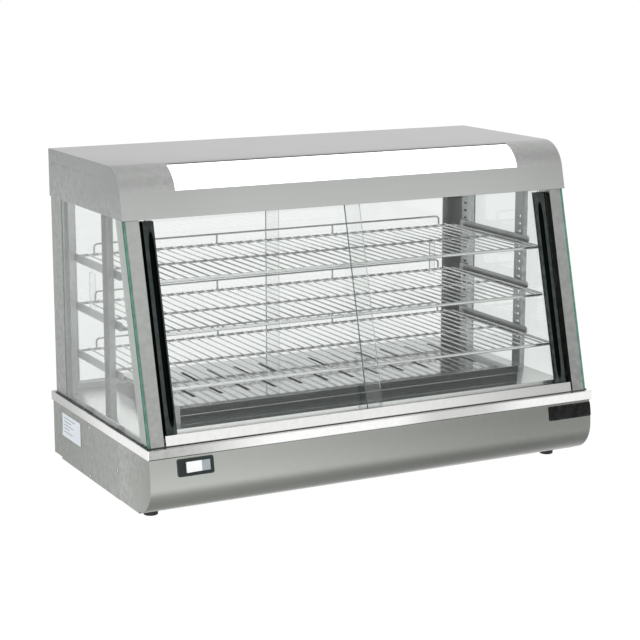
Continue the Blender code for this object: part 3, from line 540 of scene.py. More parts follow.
def makePiece(name, bm, finishes, body="case", bevel=0.0, segments=2, bevelAngle=35, smoothAngle=35, wall=0.0,
              replaces=()):
    bmesh.ops.recalc_face_normals(bm, faces=bm.faces[:])
    mesh = bpy.data.meshes.new(name)
    bm.to_mesh(mesh)
    bm.free()
    for label in finishes:
        mesh.materials.append(finish[label])
    piece = bpy.data.objects.new(name, mesh)
    bpy.context.scene.collection.objects.link(piece)
    if bevel:
        addRounding(piece, bevel, segments, bevelAngle)
    if wall:
        sheet = piece.modifiers.new("sheet", "SOLIDIFY")
        sheet.thickness = wall
        sheet.offset = -1.0
        sheet.use_even_offset = True
    if piece.modifiers:
        bpy.context.view_layer.update()
        final = bpy.data.meshes.new_from_object(piece.evaluated_get(bpy.context.evaluated_depsgraph_get()))
        final.name = name
        piece.modifiers.clear()
        piece.data = final
    piece.data.shade_smooth()
    piece.data.set_sharp_from_angle(angle=math.radians(smoothAngle))
    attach(piece, body)
    if replaces:
        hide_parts(*replaces)


def finishNode(name, label, bevel):
    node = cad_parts[name]
    node.data.materials.clear()
    node.data.materials.append(finish[label])
    if "custom_normal" in node.data.attributes:
        node.data.attributes.remove(node.data.attributes["custom_normal"])
    node.data.polygons.foreach_set("use_smooth", [False] * len(node.data.polygons))
    if bevel:
        joined = node.modifiers.new("joined", "WELD")
        joined.merge_threshold = 1e-6
        addRounding(node, bevel, 2, 40)


# Hood: one folded sheet with end plates, the lit window cut into its curve.
hood = {"radius": 0.060, "windowHalf": 0.353, "windowFrom": 14.0, "windowTo": 74.0, "sheet": 0.0010,
        "edge": 0.0014, "hem": 0.008, "arcSteps": 30, "foldDrop": 0.026}


def hoodCurve():
    lipDepth = slope["highDepth"] - 0.006
    corner = lipDepth + slopeRise * (hoodHigh.z - hoodLow.z)
    run = hood["radius"] / math.tan(math.radians(90 + math.degrees(math.atan(slopeRise))) / 2)
    return (frontY + corner + run, hoodHigh.z - hood["radius"]), 180 - math.degrees(math.atan(slopeRise))


def makeHood():
    centre, bandAngle = hoodCurve()
    half, windowHalf = hoodHigh.x, hood["windowHalf"]
    start, end = 90 + hood["windowFrom"], 90 + hood["windowTo"]
    lip = (hoodLow.y, hoodLow.z)
    steps = hood["arcSteps"]
    angles = [bandAngle + (90 - bandAngle) * i / steps for i in range(steps + 1)]
    angles = sorted(set(angles + [start, end]), reverse=True)
    profile = [(lip[0] + hood["hem"], lip[1] + 0.0012), lip]
    profile += [arcPoints(centre, hood["radius"], a, a, 1)[0] for a in angles]
    profile += [(hoodHigh.y, hoodHigh.z), (hoodHigh.y, hoodLow.z)]
    bm = bmesh.new()
    columns = addColumns(bm, profile, (-half, -windowHalf, windowHalf, half))
    rows = range(len(profile) - 1)
    # The arc's points follow the two of the hem, so row 2 starts at the first angle.
    cut = [row for row in rows if 2 <= row < len(angles) + 1 and start < angles[row - 2] <= end]
    for index, (left, right) in enumerate(zip(columns, columns[1:])):
        addStrip(bm, left, right, [row for row in rows if index != 1 or row not in cut])
    for column in (columns[0], columns[-1]):
        bm.faces.new(column[1:])
    faceOutward(bm)
    # End plates take the darker copy of the steel, painted shade, and the front band the copy with its own
    # painted reflection.
    for face in bm.faces:
        face.material_index = 1 if abs(face.normal.x) > 0.9 else 2 if face.normal.y < -0.9 else 0
    makePiece("hoodShell", bm, ["satinSteelAcross", "satinSteelDeepShaded", "hoodFrontPaintedReflection"], bevel=hood["edge"],
              segments=3, bevelAngle=50, smoothAngle=30, wall=hood["sheet"], replaces=["hood_shell"])
    # Opal pane behind the window, and the dark gasket along its upper edge.
    lap, clear = 5.0, hood["sheet"] + 0.0004
    pane = arcPoints(centre, hood["radius"] - clear, end + lap, start - lap, 28)
    pane += arcPoints(centre, hood["radius"] - clear - 0.003, start - lap, end + lap, 28)
    bm = bmesh.new()
    addPrism(bm, pane, "X", -windowHalf - 0.008, windowHalf + 0.008)
    makePiece("opalPane", bm, ["opalGlow"], replaces=["light_diffuser"])
    bm = bmesh.new()
    spot = arcPoints(centre, hood["radius"] - 0.0006, start + 0.8, start + 0.8, 1)[0]
    addRod(bm, (-windowHalf + 0.0006, *spot), (windowHalf - 0.0006, *spot), 0.0011)
    makePiece("windowGasket", bm, ["sealantAndShadowStrip"])
    # A faint weld line along each end plate.
    bm = bmesh.new()
    for side in (-1, 1):
        x, z = side * (half + 0.0001), hoodHigh.z - hood["foldDrop"]
        path = [Vector((x, hoodHigh.y - 0.004 - 0.0105 * i, z + 0.0005 * math.sin(2.3 * i)))
                for i in range(26)]
        addTube(bm, path, 0.0005, 6)
    makePiece("hoodWeldLines", bm, ["satinSteelDeepShaded"])


makeHood()
print("hood made")


# Base front: bulged sheet rolled under at the bottom, with side returns.
belly = {"bulge": 0.003, "rollRadius": 0.055, "rollZ": 0.0755, "bellyRadius": 0.177, "seam": 0.140,
         "half": 0.4575, "sheet": 0.0010, "edge": 0.0016}
baseLow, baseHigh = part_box("front_panel")


def bellyY(z, inset=0.0):
    radius = belly["bellyRadius"] if z >= belly["rollZ"] else belly["rollRadius"]
    reach = max((radius - inset) ** 2 - (z - belly["rollZ"]) ** 2, 0.0)
    return frontY - belly["bulge"] + radius - math.sqrt(reach)


def makeFrontPanel():
    centre = (frontY - belly["bulge"] + belly["rollRadius"], belly["rollZ"])
    roll = arcPoints(centre, belly["rollRadius"], 270, 180, 24)
    tall = baseHigh.z - belly["rollZ"]
    rise = [(bellyY(z), z) for z in (belly["rollZ"] + tall * i / 16 for i in range(1, 17))]
    outline = [(frontY + belly["seam"], baseLow.z), (roll[0][0], baseLow.z)] + roll[1:] + rise
    outline += [(frontY + belly["seam"], baseHigh.z)]
    bm = foldedSheet(outline, -belly["half"], belly["half"], range(len(outline) - 2))
    for face in bm.faces:
        face.material_index = 1 if abs(face.normal.x) > 0.9 else 0
    makePiece("frontPanel", bm, ["bellySteel", "baseSteel"], bevel=belly["edge"], segments=3, bevelAngle=50,
              smoothAngle=30, wall=belly["sheet"], replaces=["front_panel"])


makeFrontPanel()
print("base front made")


# Rocker switch: bezel with a sloped rim, and a rocker that is white left of the split and grey right of it.
switch = {"x": -0.3725, "z": 0.1052, "wide": 0.068, "high": 0.031, "corner": 0.0035, "rockerWide": 0.047,
          "rockerHigh": 0.0185, "half": 0.0231, "shift": 0.0035, "face": -0.00555, "split": 0.0075,
          "tip": 5.0, "curve": 1.15, "root": 0.0060}


def switchFrame():
    tip = math.asin((switch["z"] - belly["rollZ"]) / belly["bellyRadius"])
    return Matrix.Translation((switch["x"], bellyY(switch["z"]), switch["z"])) @ Matrix.Rotation(-tip, 4, "X")


# The rocker's face is a shallow V seen from above, tipped so that one half is flush and the other proud.
def rockerFace(start, end, steps):
    half, face = switch["half"], switch["face"]
    drop = half * math.sin(math.radians(switch["tip"]))
    return [(x, face - drop * (abs(x) / half) ** switch["curve"])
            for x in (start + (end - start) * k / steps for k in range(steps + 1))]


def makeSwitch():
    bm = bmesh.new()
    rings = []
    # The rim goes up from the panel, over its sloped face, and down into the well, which sits off the middle.
    for inset, y in ((0.0, -0.0006), (0.0, -0.0022), (0.0009, -0.0030), (0.0024, -0.0030)):
        outer = roundedRectangle(switch["wide"] / 2 - inset, switch["high"] / 2 - inset,
                                 switch["corner"] - inset)
        rings.append([bm.verts.new((a, y, b)) for a, b in outer])
    wide, high, shift = switch["rockerWide"] / 2 + 0.0006, switch["rockerHigh"] / 2 + 0.0004, switch["shift"]
    for more, y in ((0.0012, -0.0022), (0.0, -0.0018), (0.0, 0.0090)):
        well = roundedRectangle(wide + more, high + more, 0.0010, (shift, 0.0))
        rings.append([bm.verts.new((a, y, b)) for a, b in well])
    bridgeRings(bm, rings)
    bm.transform(switchFrame())
    makePiece("switchBezel", bm, ["blackPlastic"], smoothAngle=30, replaces=["switch_bezel"])

    half, split, root, tall = switch["half"], switch["split"], switch["root"], switch["rockerHigh"] / 2
    bm = bmesh.new()
    # White left of the split and grey right of it; the split sits right of the fold.
    addPrism(bm, rockerFace(-half, split, 12) + [(split, root), (-root, root), (0.002 - half, 0.0010)], "Z",
             -tall, tall)
    addPrism(bm, rockerFace(split, half, 8) + [(half - 0.002, 0.0010), (split, root)], "Z", -tall, tall, 1)
    turn = Matrix.Rotation(math.radians(switch["tip"]), 4, "Z")
    bm.transform(switchFrame() @ Matrix.Translation((shift, 0.003, 0)) @ turn)
    makePiece("switchRocker", bm, ["whiteRocker", "greyRocker"], body="rocker", bevel=0.0004, bevelAngle=50,
              replaces=["switch_rocker"])


makeSwitch()


# Blank badge that follows the belly, with rounded corners, and the blank rating label with ruled lines.
badge = {"corner": 0.0022, "thick": 0.0010, "rows": 16}
label = {"corner": 0.0020, "thick": 0.0003, "margin": 0.008, "ruleHigh": 0.0011,
         "rules": (0.62, 0.40, 0.55, 0.30, 0.48)}


def makeBadge():
    low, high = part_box("badge_plate")
    bm = bmesh.new()
    rings = []
    corner, count = badge["corner"], badge["rows"]
    for i in range(count + 1):
        z = low.z + (high.z - low.z) * i / count
        near = min(z - low.z, high.z - z)
        inset = corner - math.sqrt(max(corner ** 2 - (corner - near) ** 2, 0.0)) if near < corner else 0.0
        front, back = bellyY(z) - badge["thick"] - 0.0003, bellyY(z) - 0.0003
        rings.append([bm.verts.new(p) for p in ((low.x + inset, front, z), (high.x - inset, front, z),
                                                (high.x - inset, back, z), (low.x + inset, back, z))])
    bridgeRings(bm, rings)
    makePiece("blankBadge", bm, ["badgeBlack"], bevel=0.0003, smoothAngle=40, replaces=["badge_plate"])


def makeLabel():
    low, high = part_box("rating_label")
    wide, tall, x = high.y - low.y, high.z - low.z, high.x - label["thick"]
    bm = bmesh.new()
    outline = roundedRectangle(wide / 2, tall / 2, label["corner"], middleOf(low, high)[1:])
    addPrism(bm, outline, "X", x, high.x)
    for row, share in enumerate(label["rules"]):
        y, z = high.y - label["margin"], high.z - tall * (0.16 + 0.15 * row)
        addBlock(bm, (x - 0.00008, x + 0.0001), (y - wide * share, y), (z - label["ruleHigh"], z), 1)
    makePiece("blankLabel", bm, ["labelFilm", "printInkAndRecessShade"], replaces=["rating_label"])


makeBadge()
makeLabel()
print("switch, badge and label made")


# Round rubber feet.
foot = {"radius": 0.013, "edge": 0.0018}


def makeFeet():
    for name in ("foot_front_left", "foot_front_right", "foot_rear_left", "foot_rear_right"):
        low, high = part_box(name)
        tall, radius, edge = high.z - low.z, foot["radius"], foot["edge"]
        profile = [(radius - edge * 1.6, 0.0), (radius - edge * 0.5, 0.0006), (radius, edge),
                   (radius, tall * 0.72), (radius - 0.0015, tall * 0.80), (0.009, tall)]
        bm = bmesh.new()
        addTurned(bm, profile, (*middleOf(low, high)[:2], low.z), (0, 0, 1), 40)
        words = name.split("_")
        makePiece(words[0] + words[1].title() + words[2].title(), bm, ["blackRubber"], replaces=[name])


makeFeet()


# Wire shelves: a rim of heavier wire, cross wires laid on it, and two stays under the middle.
shelf = {"half": 0.418, "rim": 0.0025, "wire": 0.0015, "count": 38, "corner": 0.010, "frontRail": 0.0031,
         "nub": 0.0017, "wireLift": 0.0014, "stays": (-0.001, 0.005)}
fence = {"half": 0.378, "wire": 0.0018, "corner": 0.008, "stay": 0.128, "footDrop": 0.0012}


def makeShelf(level):
    low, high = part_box("shelf_" + level)
    rim, wire, half = shelf["rim"], shelf["wire"], shelf["half"]
    z = low.z + rim
    bm = bmesh.new()
    x, y0, y1 = half - rim, low.y + rim, high.y - rim
    loop = roundedPath([(-x, y0, z), (x, y0, z), (x, y1, z), (-x, y1, z)], shelf["corner"], 6, closed=True)
    # The rim's front run, the front rail and the nubs take the brighter wire copy, a painted highlight.
    for face in addTube(bm, loop, rim, 12, closed=True):
        face.material_index = 1 if face.calc_center_median().y < y0 + rim else 0
    rail = low.y + shelf["frontRail"]
    addRod(bm, (-x + shelf["corner"], rail, z), (x - shelf["corner"], rail, z), shelf["frontRail"], 12, 1)
    inner = half - 2 * rim
    pitch = 2 * (inner + wire) / (shelf["count"] + 1)
    top = high.z - wire + shelf["wireLift"]
    for i in range(1, shelf["count"] + 1):
        wx = -inner - wire + pitch * i
        points = [(wx, low.y + 0.0012, top - 0.0026), (wx, low.y + 0.0018, top), (wx, high.y - 0.0012, top)]
        addTube(bm, roundedPath(points, 0.0012, 3), wire, 8)
        addRod(bm, (wx, low.y + 0.0008, top - 0.0006), (wx, low.y + 0.0065, top - 0.0002), shelf["nub"],
               kind=1)
    under = top - 2 * wire + 0.0003
    for back in shelf["stays"]:
        y = (low.y + high.y) / 2 + back
        addRod(bm, (-x, y, under), (x, y, under), wire)
    makePiece(level + "Shelf", bm, ["chromedWire", "chromedWireHighlight"], body=level + "_shelf",
              replaces=["shelf_" + level])

    low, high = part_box("fence_" + level)
    y, top, heel = (low.y + high.y) / 2, high.z - fence["wire"], low.z - fence["footDrop"]
    bm = bmesh.new()
    half = fence["half"]
    addTube(bm, roundedPath([(-half, y, heel), (-half, y, top), (half, y, top), (half, y, heel)],
                            fence["corner"], 7), fence["wire"], 10)
    for stayX in (-fence["stay"], fence["stay"]):
        addRod(bm, (stayX, y, heel), (stayX, y, top), fence["wire"], 10)
    makePiece(level + "Fence", bm, ["chromedWire"], body=level + "_shelf", replaces=["fence_" + level])


for shelfLevel in ("upper", "middle", "lower"):
    makeShelf(shelfLevel)
print("shelves made")


# Sliding front doors: a pane, and a grooved handle along its outer edge.
door = {"glass": 0.004, "outerDepth": 0.0145, "innerDepth": 0.0270, "wide": 0.0270, "ahead": 0.0068,
        "behind": 0.0010, "rebate": 0.0065, "step": 0.0055, "overlap": 0.0140, "groove": 0.0054,
        "grooveDeep": 0.0050, "tipLow": 0.0155, "tipHigh": 0.016, "taper": 0.036}


def addLeaningPane(bm, x0, x1, depth, zLow, zHigh):
    back = depth + door["glass"]
    outline = ((x0, depth), (x1, depth), (x1, back), (x0, back))
    rings = [[bm.verts.new((x, leanY(t, z), z)) for x, t in outline] for z in (zLow, zHigh)]
    markEdges(bm, bridgeRings(bm, rings), 1)


def makeFrontDoor(side, word, depth):
    body = "front_door_" + word
    low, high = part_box("front_door_handle_" + word)
    glassLow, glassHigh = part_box("front_door_glass_" + word)
    outer = low.x if side < 0 else high.x
    bm = bmesh.new()
    addLeaningPane(bm, glassLow.x, glassHigh.x, depth, glassLow.z, glassHigh.z)
    makePiece(word + "FrontPane", bm, ["doorGlass", "doorEdge"], body=body, bevel=0.0005, segments=1,
              replaces=["front_door_glass_" + word])

    ahead, behind = depth - door["ahead"], depth + door["glass"] + door["behind"]
    step = ahead + door["step"]
    inner, rebate = outer - side * door["wide"], outer - side * door["rebate"]
    centre = outer - side * (door["wide"] - 0.0080)
    stop = outer - side * (door["overlap"] - 0.0003)
    glassFront, glassBack = depth - 0.0003, depth + door["glass"] + 0.0003
    lowTip, highTip, taper, steps = low.z + door["tipLow"], high.z - door["tipHigh"], door["taper"], 12
    heights = [low.z] + [lowTip + taper * k / 8 for k in range(9)]
    heights += [highTip - taper * (8 - k) / 8 for k in range(9)]
    rings = []
    for z in heights + [high.z]:
        share = max(0.0, min(1.0, min(z - lowTip, highTip - z) / taper))
        share = math.sqrt(share) * (1.5 - 0.5 * share)
        wide, deep = max(door["groove"] * share, 0.0002), door["grooveDeep"] * share
        outline = [(outer, step), (rebate, step), (rebate, ahead)]
        start, end = centre + side * wide, centre - side * wide
        outline += [(start + (end - start) * k / steps, ahead + deep * math.sin(math.pi * k / steps) ** 0.7)
                    for k in range(steps + 1)]
        outline += [(inner, ahead), (inner, glassFront), (stop, glassFront), (stop, glassBack),
                    (inner, glassBack), (inner, behind), (outer, behind)]
        rings.append([(x, leanY(t, z), z) for x, t in outline])
    bm = bmesh.new()
    faces = bridgeRings(bm, [[bm.verts.new(p) for p in ring] for ring in rings])
    # The rebate's two faces and the groove, which starts at the outline's point 3, take a darker, matt black:
    # painted shade in the recesses.
    for index, face in enumerate(faces[:-2]):
        spot = index % len(rings[0])
        if spot < 2 or 3 <= spot < 3 + steps:
            face.material_index = 1
    makePiece(word + "FrontHandle", bm, ["handleProfile", "grooveAndRebateShade"], body=body, smoothAngle=40,
              replaces=["front_door_handle_" + word])


makeFrontDoor(-1, "left", door["innerDepth"])
makeFrontDoor(1, "right", door["outerDepth"])
print("front doors made")


# Upright rear doors with clear pulls.
rearDoor = {"edge": 0.0005, "pullCorner": 0.0045, "pullEdge": 0.0010}


def makeRearDoors():
    for word in ("left", "right"):
        low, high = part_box("rear_door_glass_" + word)
        bm = bmesh.new()
        markEdges(bm, addBlock(bm, (low.x, high.x), (low.y, high.y), (low.z, high.z)), 1)
        body = "rear_door_" + word
        makePiece(word + "RearPane", bm, ["doorGlass", "doorEdge"], body=body, bevel=rearDoor["edge"],
                  segments=1, replaces=["rear_door_glass_" + word])
        low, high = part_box("rear_door_pull_" + word)
        x, _, z = middleOf(low, high)
        outline = roundedRectangle((high.x - low.x) / 2, (high.z - low.z) / 2, rearDoor["pullCorner"], (x, z))
        bm = bmesh.new()
        addPrism(bm, outline, "Y", low.y, high.y)
        makePiece(word + "RearPull", bm, ["pullPlastic"], body=body, bevel=rearDoor["pullEdge"],
                  segments=3, replaces=["rear_door_pull_" + word])


makeRearDoors()


# Side panes, cut parallel to the sloping front.
sidePane = {"depth": 0.0015, "chamfer": 0.0006}


def makeSidePanes():
    for word in ("left", "right"):
        low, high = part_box("side_glass_" + word)
        outline = [(leanY(sidePane["depth"], low.z), low.z), (high.y, low.z), (high.y, high.z),
                   (leanY(sidePane["depth"], high.z), high.z)]
        bm = bmesh.new()
        markEdges(bm, addPrism(bm, outline, "X", low.x, high.x), 0)
        makePiece(word + "SidePane", bm, ["sideGlass", "glassEdge"], bevel=sidePane["chamfer"], segments=1,
                  replaces=["side_glass_" + word])


makeSidePanes()
print("glass made")


# Black pads that seat the side panes, and dark strips round the foot of the cabinet that paint the shadow gaps
# above and below the trim.
pads = {"depths": (0.145, 0.300, 0.405), "gap": 0.0004, "long": 0.016, "wide": 0.0045, "high": 0.0070}
shadowAboveTrim = {"high": 0.0012, "wide": 0.0026, "reach": 0.4545, "back": 0.4684}
shadowUnderTrim = {"half": 0.4566, "from": 0.0022, "to": 0.0060, "high": 0.0016}


def makePadsAndShadowStrips():
    bm = bmesh.new()
    x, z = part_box("side_glass_left")[1].x + pads["gap"], trimTop
    for depth in pads["depths"]:
        y = frontY + depth
        addBlock(bm, (x, x + pads["wide"]), (y, y + pads["long"]), (z, z + pads["high"]))
    makePiece("glassPads", bm, ["blackRubber"], bevel=0.0006)
    # Painted shadow: a dark strip in the gap above the trim, across the front and back along both sides.
    bm = bmesh.new()
    wide, reach, spanZ, y = shadowAboveTrim["wide"], shadowAboveTrim["reach"], (z, z + shadowAboveTrim["high"]), leanY(0.0, z)
    addBlock(bm, (-reach, reach), (y - wide, y + 0.0004), spanZ)
    for side in (-1, 1):
        spanX = sorted((side * reach, side * (reach + wide)))
        addBlock(bm, spanX, (y + 0.001, frontY + shadowAboveTrim["back"]), spanZ)
    makePiece("shadowStripAboveTrim", bm, ["sealantAndShadowStrip"], bevel=0.0004)
    # Painted shadow: a dark strip in the gap under the trim.
    bm = bmesh.new()
    addBlock(bm, (-shadowUnderTrim["half"], shadowUnderTrim["half"]),
             (frontY + shadowUnderTrim["from"], frontY + shadowUnderTrim["to"]), (trimLow.z - shadowUnderTrim["high"], trimLow.z))
    makePiece("shadowStripUnderTrim", bm, ["sealantAndShadowStrip"], bevel=0.0004)


makePadsAndShadowStrips()


# Cabinet floor: a folded tray with a pressed line along its front.
tray = {"radius": 0.0015, "fold": 0.0223, "lineWide": 0.0012, "lineDeep": 0.0005, "sheet": 0.0010}


def makeDeckTray():
    low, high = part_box("deck_plate")
    line, wide, deep = low.y + tray["fold"], tray["lineWide"] / 2, tray["lineDeep"]
    foot = trimTop + 0.0004
    outline = [(low.y, foot), (low.y, high.z), (line - wide, high.z), (line - wide / 2, high.z - deep),
               (line + wide / 2, high.z - deep), (line + wide, high.z), (high.y, high.z), (high.y, foot)]
    bm = foldedSheet(outline, low.x, high.x, range(len(outline) - 1))
    makePiece("deckTray", bm, ["floorSteel"], bevel=tray["radius"], segments=3, bevelAngle=60, smoothAngle=30,
              wall=tray["sheet"], replaces=["deck_plate"])


makeDeckTray()


# Heater cover front: a near-black sheet paints the reflection of a dark room on its front edge, and a pale rod
# paints the highlight on the crease where the sheet is stepped.
fascia = {"half": 0.3553, "thick": 0.0004, "crease": 0.1672}


def makeHeaterReflectionSheet():
    low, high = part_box("heater_cover")
    y, half, thick, crease = low.y, fascia["half"], fascia["thick"], fascia["crease"]
    bm = bmesh.new()
    addBlock(bm, (-half, half), (y - thick + 0.0015, y + 0.0014), (low.z + 0.0004, crease - 0.0006))
    addBlock(bm, (-half - 0.001, half + 0.001), (y - thick, y - 0.0001), (crease + 0.0010, high.z - 0.0012))
    makePiece("heaterDarkReflection", bm, ["paintedDarkReflection"])
    bm = bmesh.new()
    y, z = y + 0.0001, crease + 0.0003
    addRod(bm, (-half - 0.001, y, z), (half + 0.001, y, z), 0.0007)
    makePiece("paintedCreaseHighlight", bm, ["paintedCreaseHighlight"])


makeHeaterReflectionSheet()


# Thermostat knob with a fluted grip, and a ring of ticks round it.
knob = {"flutes": 18, "fluteDeep": 0.0012, "skirt": 0.0150, "grip": 0.0108, "ticks": 11}
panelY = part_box("back_panel")[1].y


def makeKnob():
    low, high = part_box("thermostat_knob")
    x, _, z = middleOf(low, high)
    start, sides = panelY + 0.0010, knob["flutes"] * 4
    bm = bmesh.new()
    rings = []
    skirt, grip = knob["skirt"], knob["grip"]
    profile = ((0.0034, panelY - 0.0012, 0), (0.0034, start, 0), (skirt - 0.0008, start, 0),
               (skirt, start + 0.0008, 0), (skirt, start + 0.0026, 0), (grip + 0.0012, start + 0.0040, 0),
               (grip, start + 0.0050, 0.5), (grip, start + 0.0130, 0.5), (grip - 0.0008, high.y - 0.0004, 0.3),
               (grip - 0.0022, high.y, 0))
    for radius, y, flute in profile:
        ring = []
        for k in range(sides):
            a = 2 * math.pi * k / sides
            r = radius - flute * knob["fluteDeep"] * (0.5 + 0.5 * math.cos(a * knob["flutes"]))
            ring.append(bm.verts.new((x + r * math.cos(a), y, z + r * math.sin(a))))
        rings.append(ring)
    bridgeRings(bm, rings)
    addBlock(bm, (x - 0.0006, x + 0.0006), (high.y - 0.0004, high.y + 0.00015), (z + 0.002, z + 0.0080), 1)
    makePiece("thermostatKnob", bm, ["blackPlastic", "knobTicks"], body="knob", smoothAngle=30,
              replaces=["thermostat_knob"])
    bm = bmesh.new()
    for k in range(knob["ticks"]):
        angle = math.radians(-45 + 270 * k / (knob["ticks"] - 1))
        turn = Matrix.Translation((x, panelY + 0.0001, z)) @ Matrix.Rotation(-angle, 4, "Y")
        tick = addBlock(bm, (0.0175, 0.0215 if k % 5 == 0 else 0.0200), (-0.0002, 0.0002), (-0.0004, 0.0004))
        moveFaces(bm, tick, turn)
    makePiece("dialTicks", bm, ["printInkAndRecessShade"])


# Cable gland: a stem through the panel, a hexagon and a domed nut.
gland = {"stem": 0.0078, "hexagon": 0.0110, "hexagonTop": 0.0060}


def makeGland():
    low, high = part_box("cable_gland")
    x, _, z = middleOf(low, high)
    tall = high.y - panelY
    bm = bmesh.new()
    addTurned(bm, [(gland["stem"], low.y - panelY), (gland["stem"], 0.0006)], (x, panelY, z), (0, 1, 0), 32)
    addPrism(bm, arcPoints((x, z), gland["hexagon"], 0, 300, 5), "Y", panelY + 0.0006,
             panelY + gland["hexagonTop"])
    dome = [(0.0094, gland["hexagonTop"]), (0.0096, 0.0075), (0.0094, 0.0120), (0.0080, 0.0145),
            (0.0062, tall), (0.0050, tall), (0.0046, tall - 0.0030), (0.0020, tall - 0.0034)]
    addTurned(bm, dome, (x, panelY, z), (0, 1, 0), 32)
    makePiece("cableGland", bm, ["blackPlastic"], smoothAngle=30, replaces=["cable_gland"])


makeKnob()
makeGland()


# Pan-head screws; each cross recess is two dark bars on the dome, painted shade standing in for the hollow.
screw = {"radius": 0.0036, "dome": 0.0017, "cross": 0.0019, "slot": 0.0005}


def addScrew(bm, spot, axis):
    radius, dome = screw["radius"], screw["dome"]
    profile = [(radius, -0.0002), (radius, 0.0004)]
    profile += [(radius * math.cos(a), 0.0004 + (dome - 0.0004) * math.sin(a)) for a in
                (math.radians(18 * k) for k in range(1, 5))] + [(radius * 0.12, dome)]
    addTurned(bm, profile, spot, axis, 24)
    turn = Vector((0, 0, 1)).rotation_difference(Vector(axis)).to_matrix().to_4x4()
    # Painted shade: the cross recess is two dark bars on the dome, not a hollow.
    for wide, tall in ((screw["cross"], screw["slot"]), (screw["slot"], screw["cross"])):
        bar = addBlock(bm, (-wide, wide), (-tall, tall), (dome - 0.0010, dome + 0.00008), 1)
        moveFaces(bm, bar, Matrix.Translation(Vector(spot)) @ turn)


screwSpots = {
    "sides": ((0.2865, 0.1155), (0.2885, 0.0228), (0.149, 0.0704), (0.433, 0.0693)),
    "back": ((-0.44, 0.112), (-0.15, 0.112), (0.15, 0.112), (0.44, 0.112), (-0.44, 0.032), (0.44, 0.032),
             (-0.15, 0.032), (0.15, 0.032)),
    "hoodBack": ((-0.43, 0.535), (-0.20, 0.535), (0.20, 0.535), (0.43, 0.535)),
}


def makeScrews():
    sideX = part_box("side_panel_right")[1].x
    for side, word in ((-1, "Left"), (1, "Right")):
        bm = bmesh.new()
        for depth, z in screwSpots["sides"]:
            addScrew(bm, (side * sideX, frontY + depth, z), (side, 0, 0))
        makePiece("sideScrews" + word, bm, ["screwSteel", "printInkAndRecessShade"], smoothAngle=40)
    bm = bmesh.new()
    for x, z in screwSpots["back"]:
        addScrew(bm, (x, panelY, z), (0, 1, 0))
    for x, z in screwSpots["hoodBack"]:
        addScrew(bm, (x, hoodHigh.y, z), (0, 1, 0))
    makePiece("backScrews", bm, ["screwSteel", "printInkAndRecessShade"], smoothAngle=40)


makeScrews()
print("small parts made")


# CAD parts whose shape is right keep it, with rounded edges and their own finish.
nodeFinishes = {
    "trim_frame": ("brightTrimSteel", 0.0009), "side_panel_left": ("baseSteel", 0.0005),
    "side_panel_right": ("baseSteel", 0.0005), "back_panel": ("satinSteelAcross", 0.0),
    "base_pan": ("satinSteelAcross", 0.0),
    "heater_cover": ("coverSteel", 0.0004), "heating_element": ("elementSheath", 0.0),
    "front_sill": ("sillAluminium", 0.0003), "front_head_track": ("trackAluminium", 0.0004),
    "rear_sill": ("trackAluminium", 0.0004), "rear_head_track": ("trackAluminium", 0.0004),
    "front_post_left": ("satinSteelUpright", 0.0004), "front_post_right": ("satinSteelUpright", 0.0004),
    "rear_post_left": ("rearPostPaintedLightSteel", 0.0005), "rear_post_right": ("rearPostPaintedLightSteel", 0.0005),
    "upright_front_left": ("slottedSteel", 0.0), "upright_front_right": ("shadedSteel", 0.0),
    "upright_rear_left": ("slottedSteel", 0.0), "upright_rear_right": ("slottedSteel", 0.0),
    "hood_ceiling": ("floorSteel", 0.0), "lamp_tube": ("lampGlow", 0.0),
    "lamp_holder_left": ("whitePlastic", 0.0008), "lamp_holder_right": ("whitePlastic", 0.0008),
    "thermostat_body": ("bakeliteBrown", 0.0010),
}
for bracketLevel in ("upper", "middle", "lower"):
    for bracketSide in ("left", "right"):
        nodeFinishes["bracket_" + bracketLevel + "_" + bracketSide] = ("slottedSteel", 0.0004)
for nodeName, (finishName, nodeBevel) in nodeFinishes.items():
    finishNode(nodeName, finishName, nodeBevel)
print("frame parts finished")


# Room: white to the eye, graded for reflections, with soft lamps that light only matt surfaces.
room = {"white": 1.0, "throughGlass": 0.93, "strength": 1.0,
        "heights": ((0.0, 0.42), (0.12, 0.55), (0.26, 1.20), (0.42, 1.12), (0.50, 0.98), (0.63, 0.98),
                    (0.85, 0.74), (1.0, 0.84)),
        "frontRight": 0.74, "backLeft": 0.72}


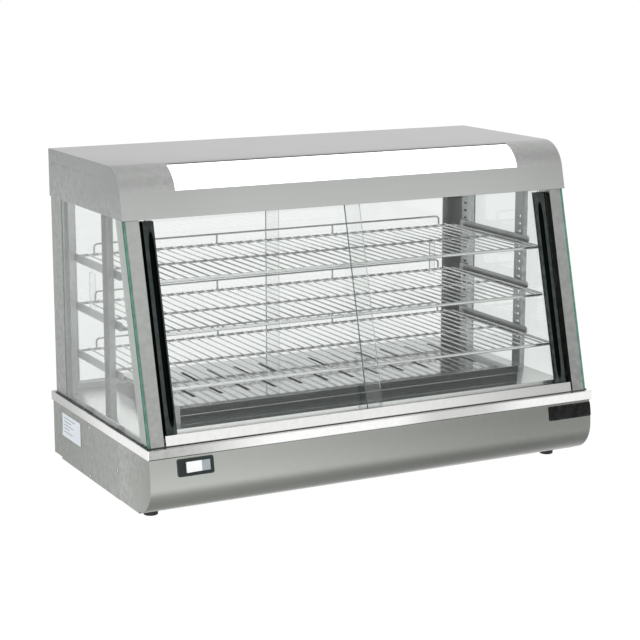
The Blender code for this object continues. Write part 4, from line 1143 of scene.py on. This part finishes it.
def makeRoom():
    world = bpy.data.worlds.new("softRoom")
    bpy.context.scene.world = world
    world.use_nodes = True
    tree = world.node_tree
    tree.nodes.clear()
    axes = addNode(tree, "SeparateXYZ", {0: addNode(tree, "TexCoord").outputs["Generated"]}).outputs
    ramp = addNode(tree, "ValToRGB", {0: addRange(tree, axes["Z"], -1.0, 1.0)})
    stops = ramp.color_ramp.elements
    for index, (position, value) in enumerate(room["heights"]):
        stop = stops[index] if index < 2 else stops.new(position)
        stop.position = position
        stop.color = colour([value] * 3)
    behind = addRange(tree, axes["Y"], -0.2, 0.2)
    frontShare = addRange(tree, axes["X"], 0.30, 0.66, 1.0, room["frontRight"])
    backShare = addRange(tree, axes["X"], -0.55, 0.35, room["backLeft"], 1.0)
    share = addNode(tree, "Mix", {0: behind, 2: frontShare, 3: backShare}, data_type="FLOAT").outputs[0]
    shaded = scaled(tree, ramp.outputs[0], share)
    # Straight to the eye or straight through glass it is plain white; every reflection gets the graded room.
    lightPath = addNode(tree, "LightPath").outputs
    bounced = plus(tree, lightPath["Glossy Depth"], lightPath["Diffuse Depth"])
    straight = addMath(tree, "LESS_THAN", bounced, 0.5)
    through = times(tree, lightPath["Is Transmission Ray"], straight)
    direct = mixedColour(tree, through, colour([room["white"]] * 3), colour([room["throughGlass"]] * 3))
    seen = times(tree, addMath(tree, "MAXIMUM", lightPath["Is Camera Ray"], through), straight)
    final = mixedColour(tree, seen, shaded, direct)
    background = addNode(tree, "Background", {"Color": final, "Strength": room["strength"]})
    output = tree.nodes.new("ShaderNodeOutputWorld")
    tree.links.new(background.outputs[0], output.inputs[0])


floorLook = {"half": 15.0, "colour": (0.03, 0.03, 0.03), "light": (1.0, 1.0, 1.0), "glow": 0.99}


def makeFloor():
    half = floorLook["half"]
    bm = bmesh.new()
    corners = ((-half, -half, 0), (half, -half, 0), (half, half, 0), (-half, half, 0))
    bm.faces.new([bm.verts.new(corner) for corner in corners])
    mesh = bpy.data.meshes.new("floor")
    bm.to_mesh(mesh)
    bm.free()
    material, tree, shader = newMaterial("paleFloor", {"Specular IOR Level": 0.0,
                                                       "Emission Strength": floorLook["glow"]})
    skin = addEffect(tree, "mouldedSkin", Colour=colour(floorLook["colour"]), Scale=40.0, Mottle=0.01,
                     Roughness=0.8, Spread=0.05)
    shader.inputs["Emission Color"].default_value = colour(floorLook["light"])
    dressShader(tree, shader, {"Base Color": skin["Colour"], "Roughness": skin["Roughness"]})
    mesh.materials.append(material)
    floor = bpy.data.objects.new("floor", mesh)
    bpy.context.scene.collection.objects.link(floor)
    floor.visible_glossy = False


lamps = {
    "keyLamp": {"place": (-2.2, -2.6, 2.6), "size": 2.4, "power": 22.0},
    "topLamp": {"place": (0.2, -0.2, 3.2), "size": 3.0, "power": 36.0},
    "fillLamp": {"place": (3.0, -1.2, 1.8), "size": 2.4, "power": 12.0},
    "backLamp": {"place": (0.5, 3.0, 2.2), "size": 2.4, "power": 12.0},
}


def makeLamps():
    for name, look in lamps.items():
        data = bpy.data.lights.new(name, "AREA")
        data.shape = "DISK"
        data.size = look["size"]
        data.energy = look["power"]
        lamp = bpy.data.objects.new(name, data)
        lamp.location = look["place"]
        aim = Vector((0, 0, 0.3)) - Vector(look["place"])
        lamp.rotation_euler = aim.to_track_quat("-Z", "Y").to_euler()
        lamp.visible_glossy = False
        lamp.visible_camera = False
        bpy.context.scene.collection.objects.link(lamp)


makeRoom()
makeFloor()
makeLamps()
bpy.context.scene.view_settings.view_transform = "Standard"
print("room and lamps ready")
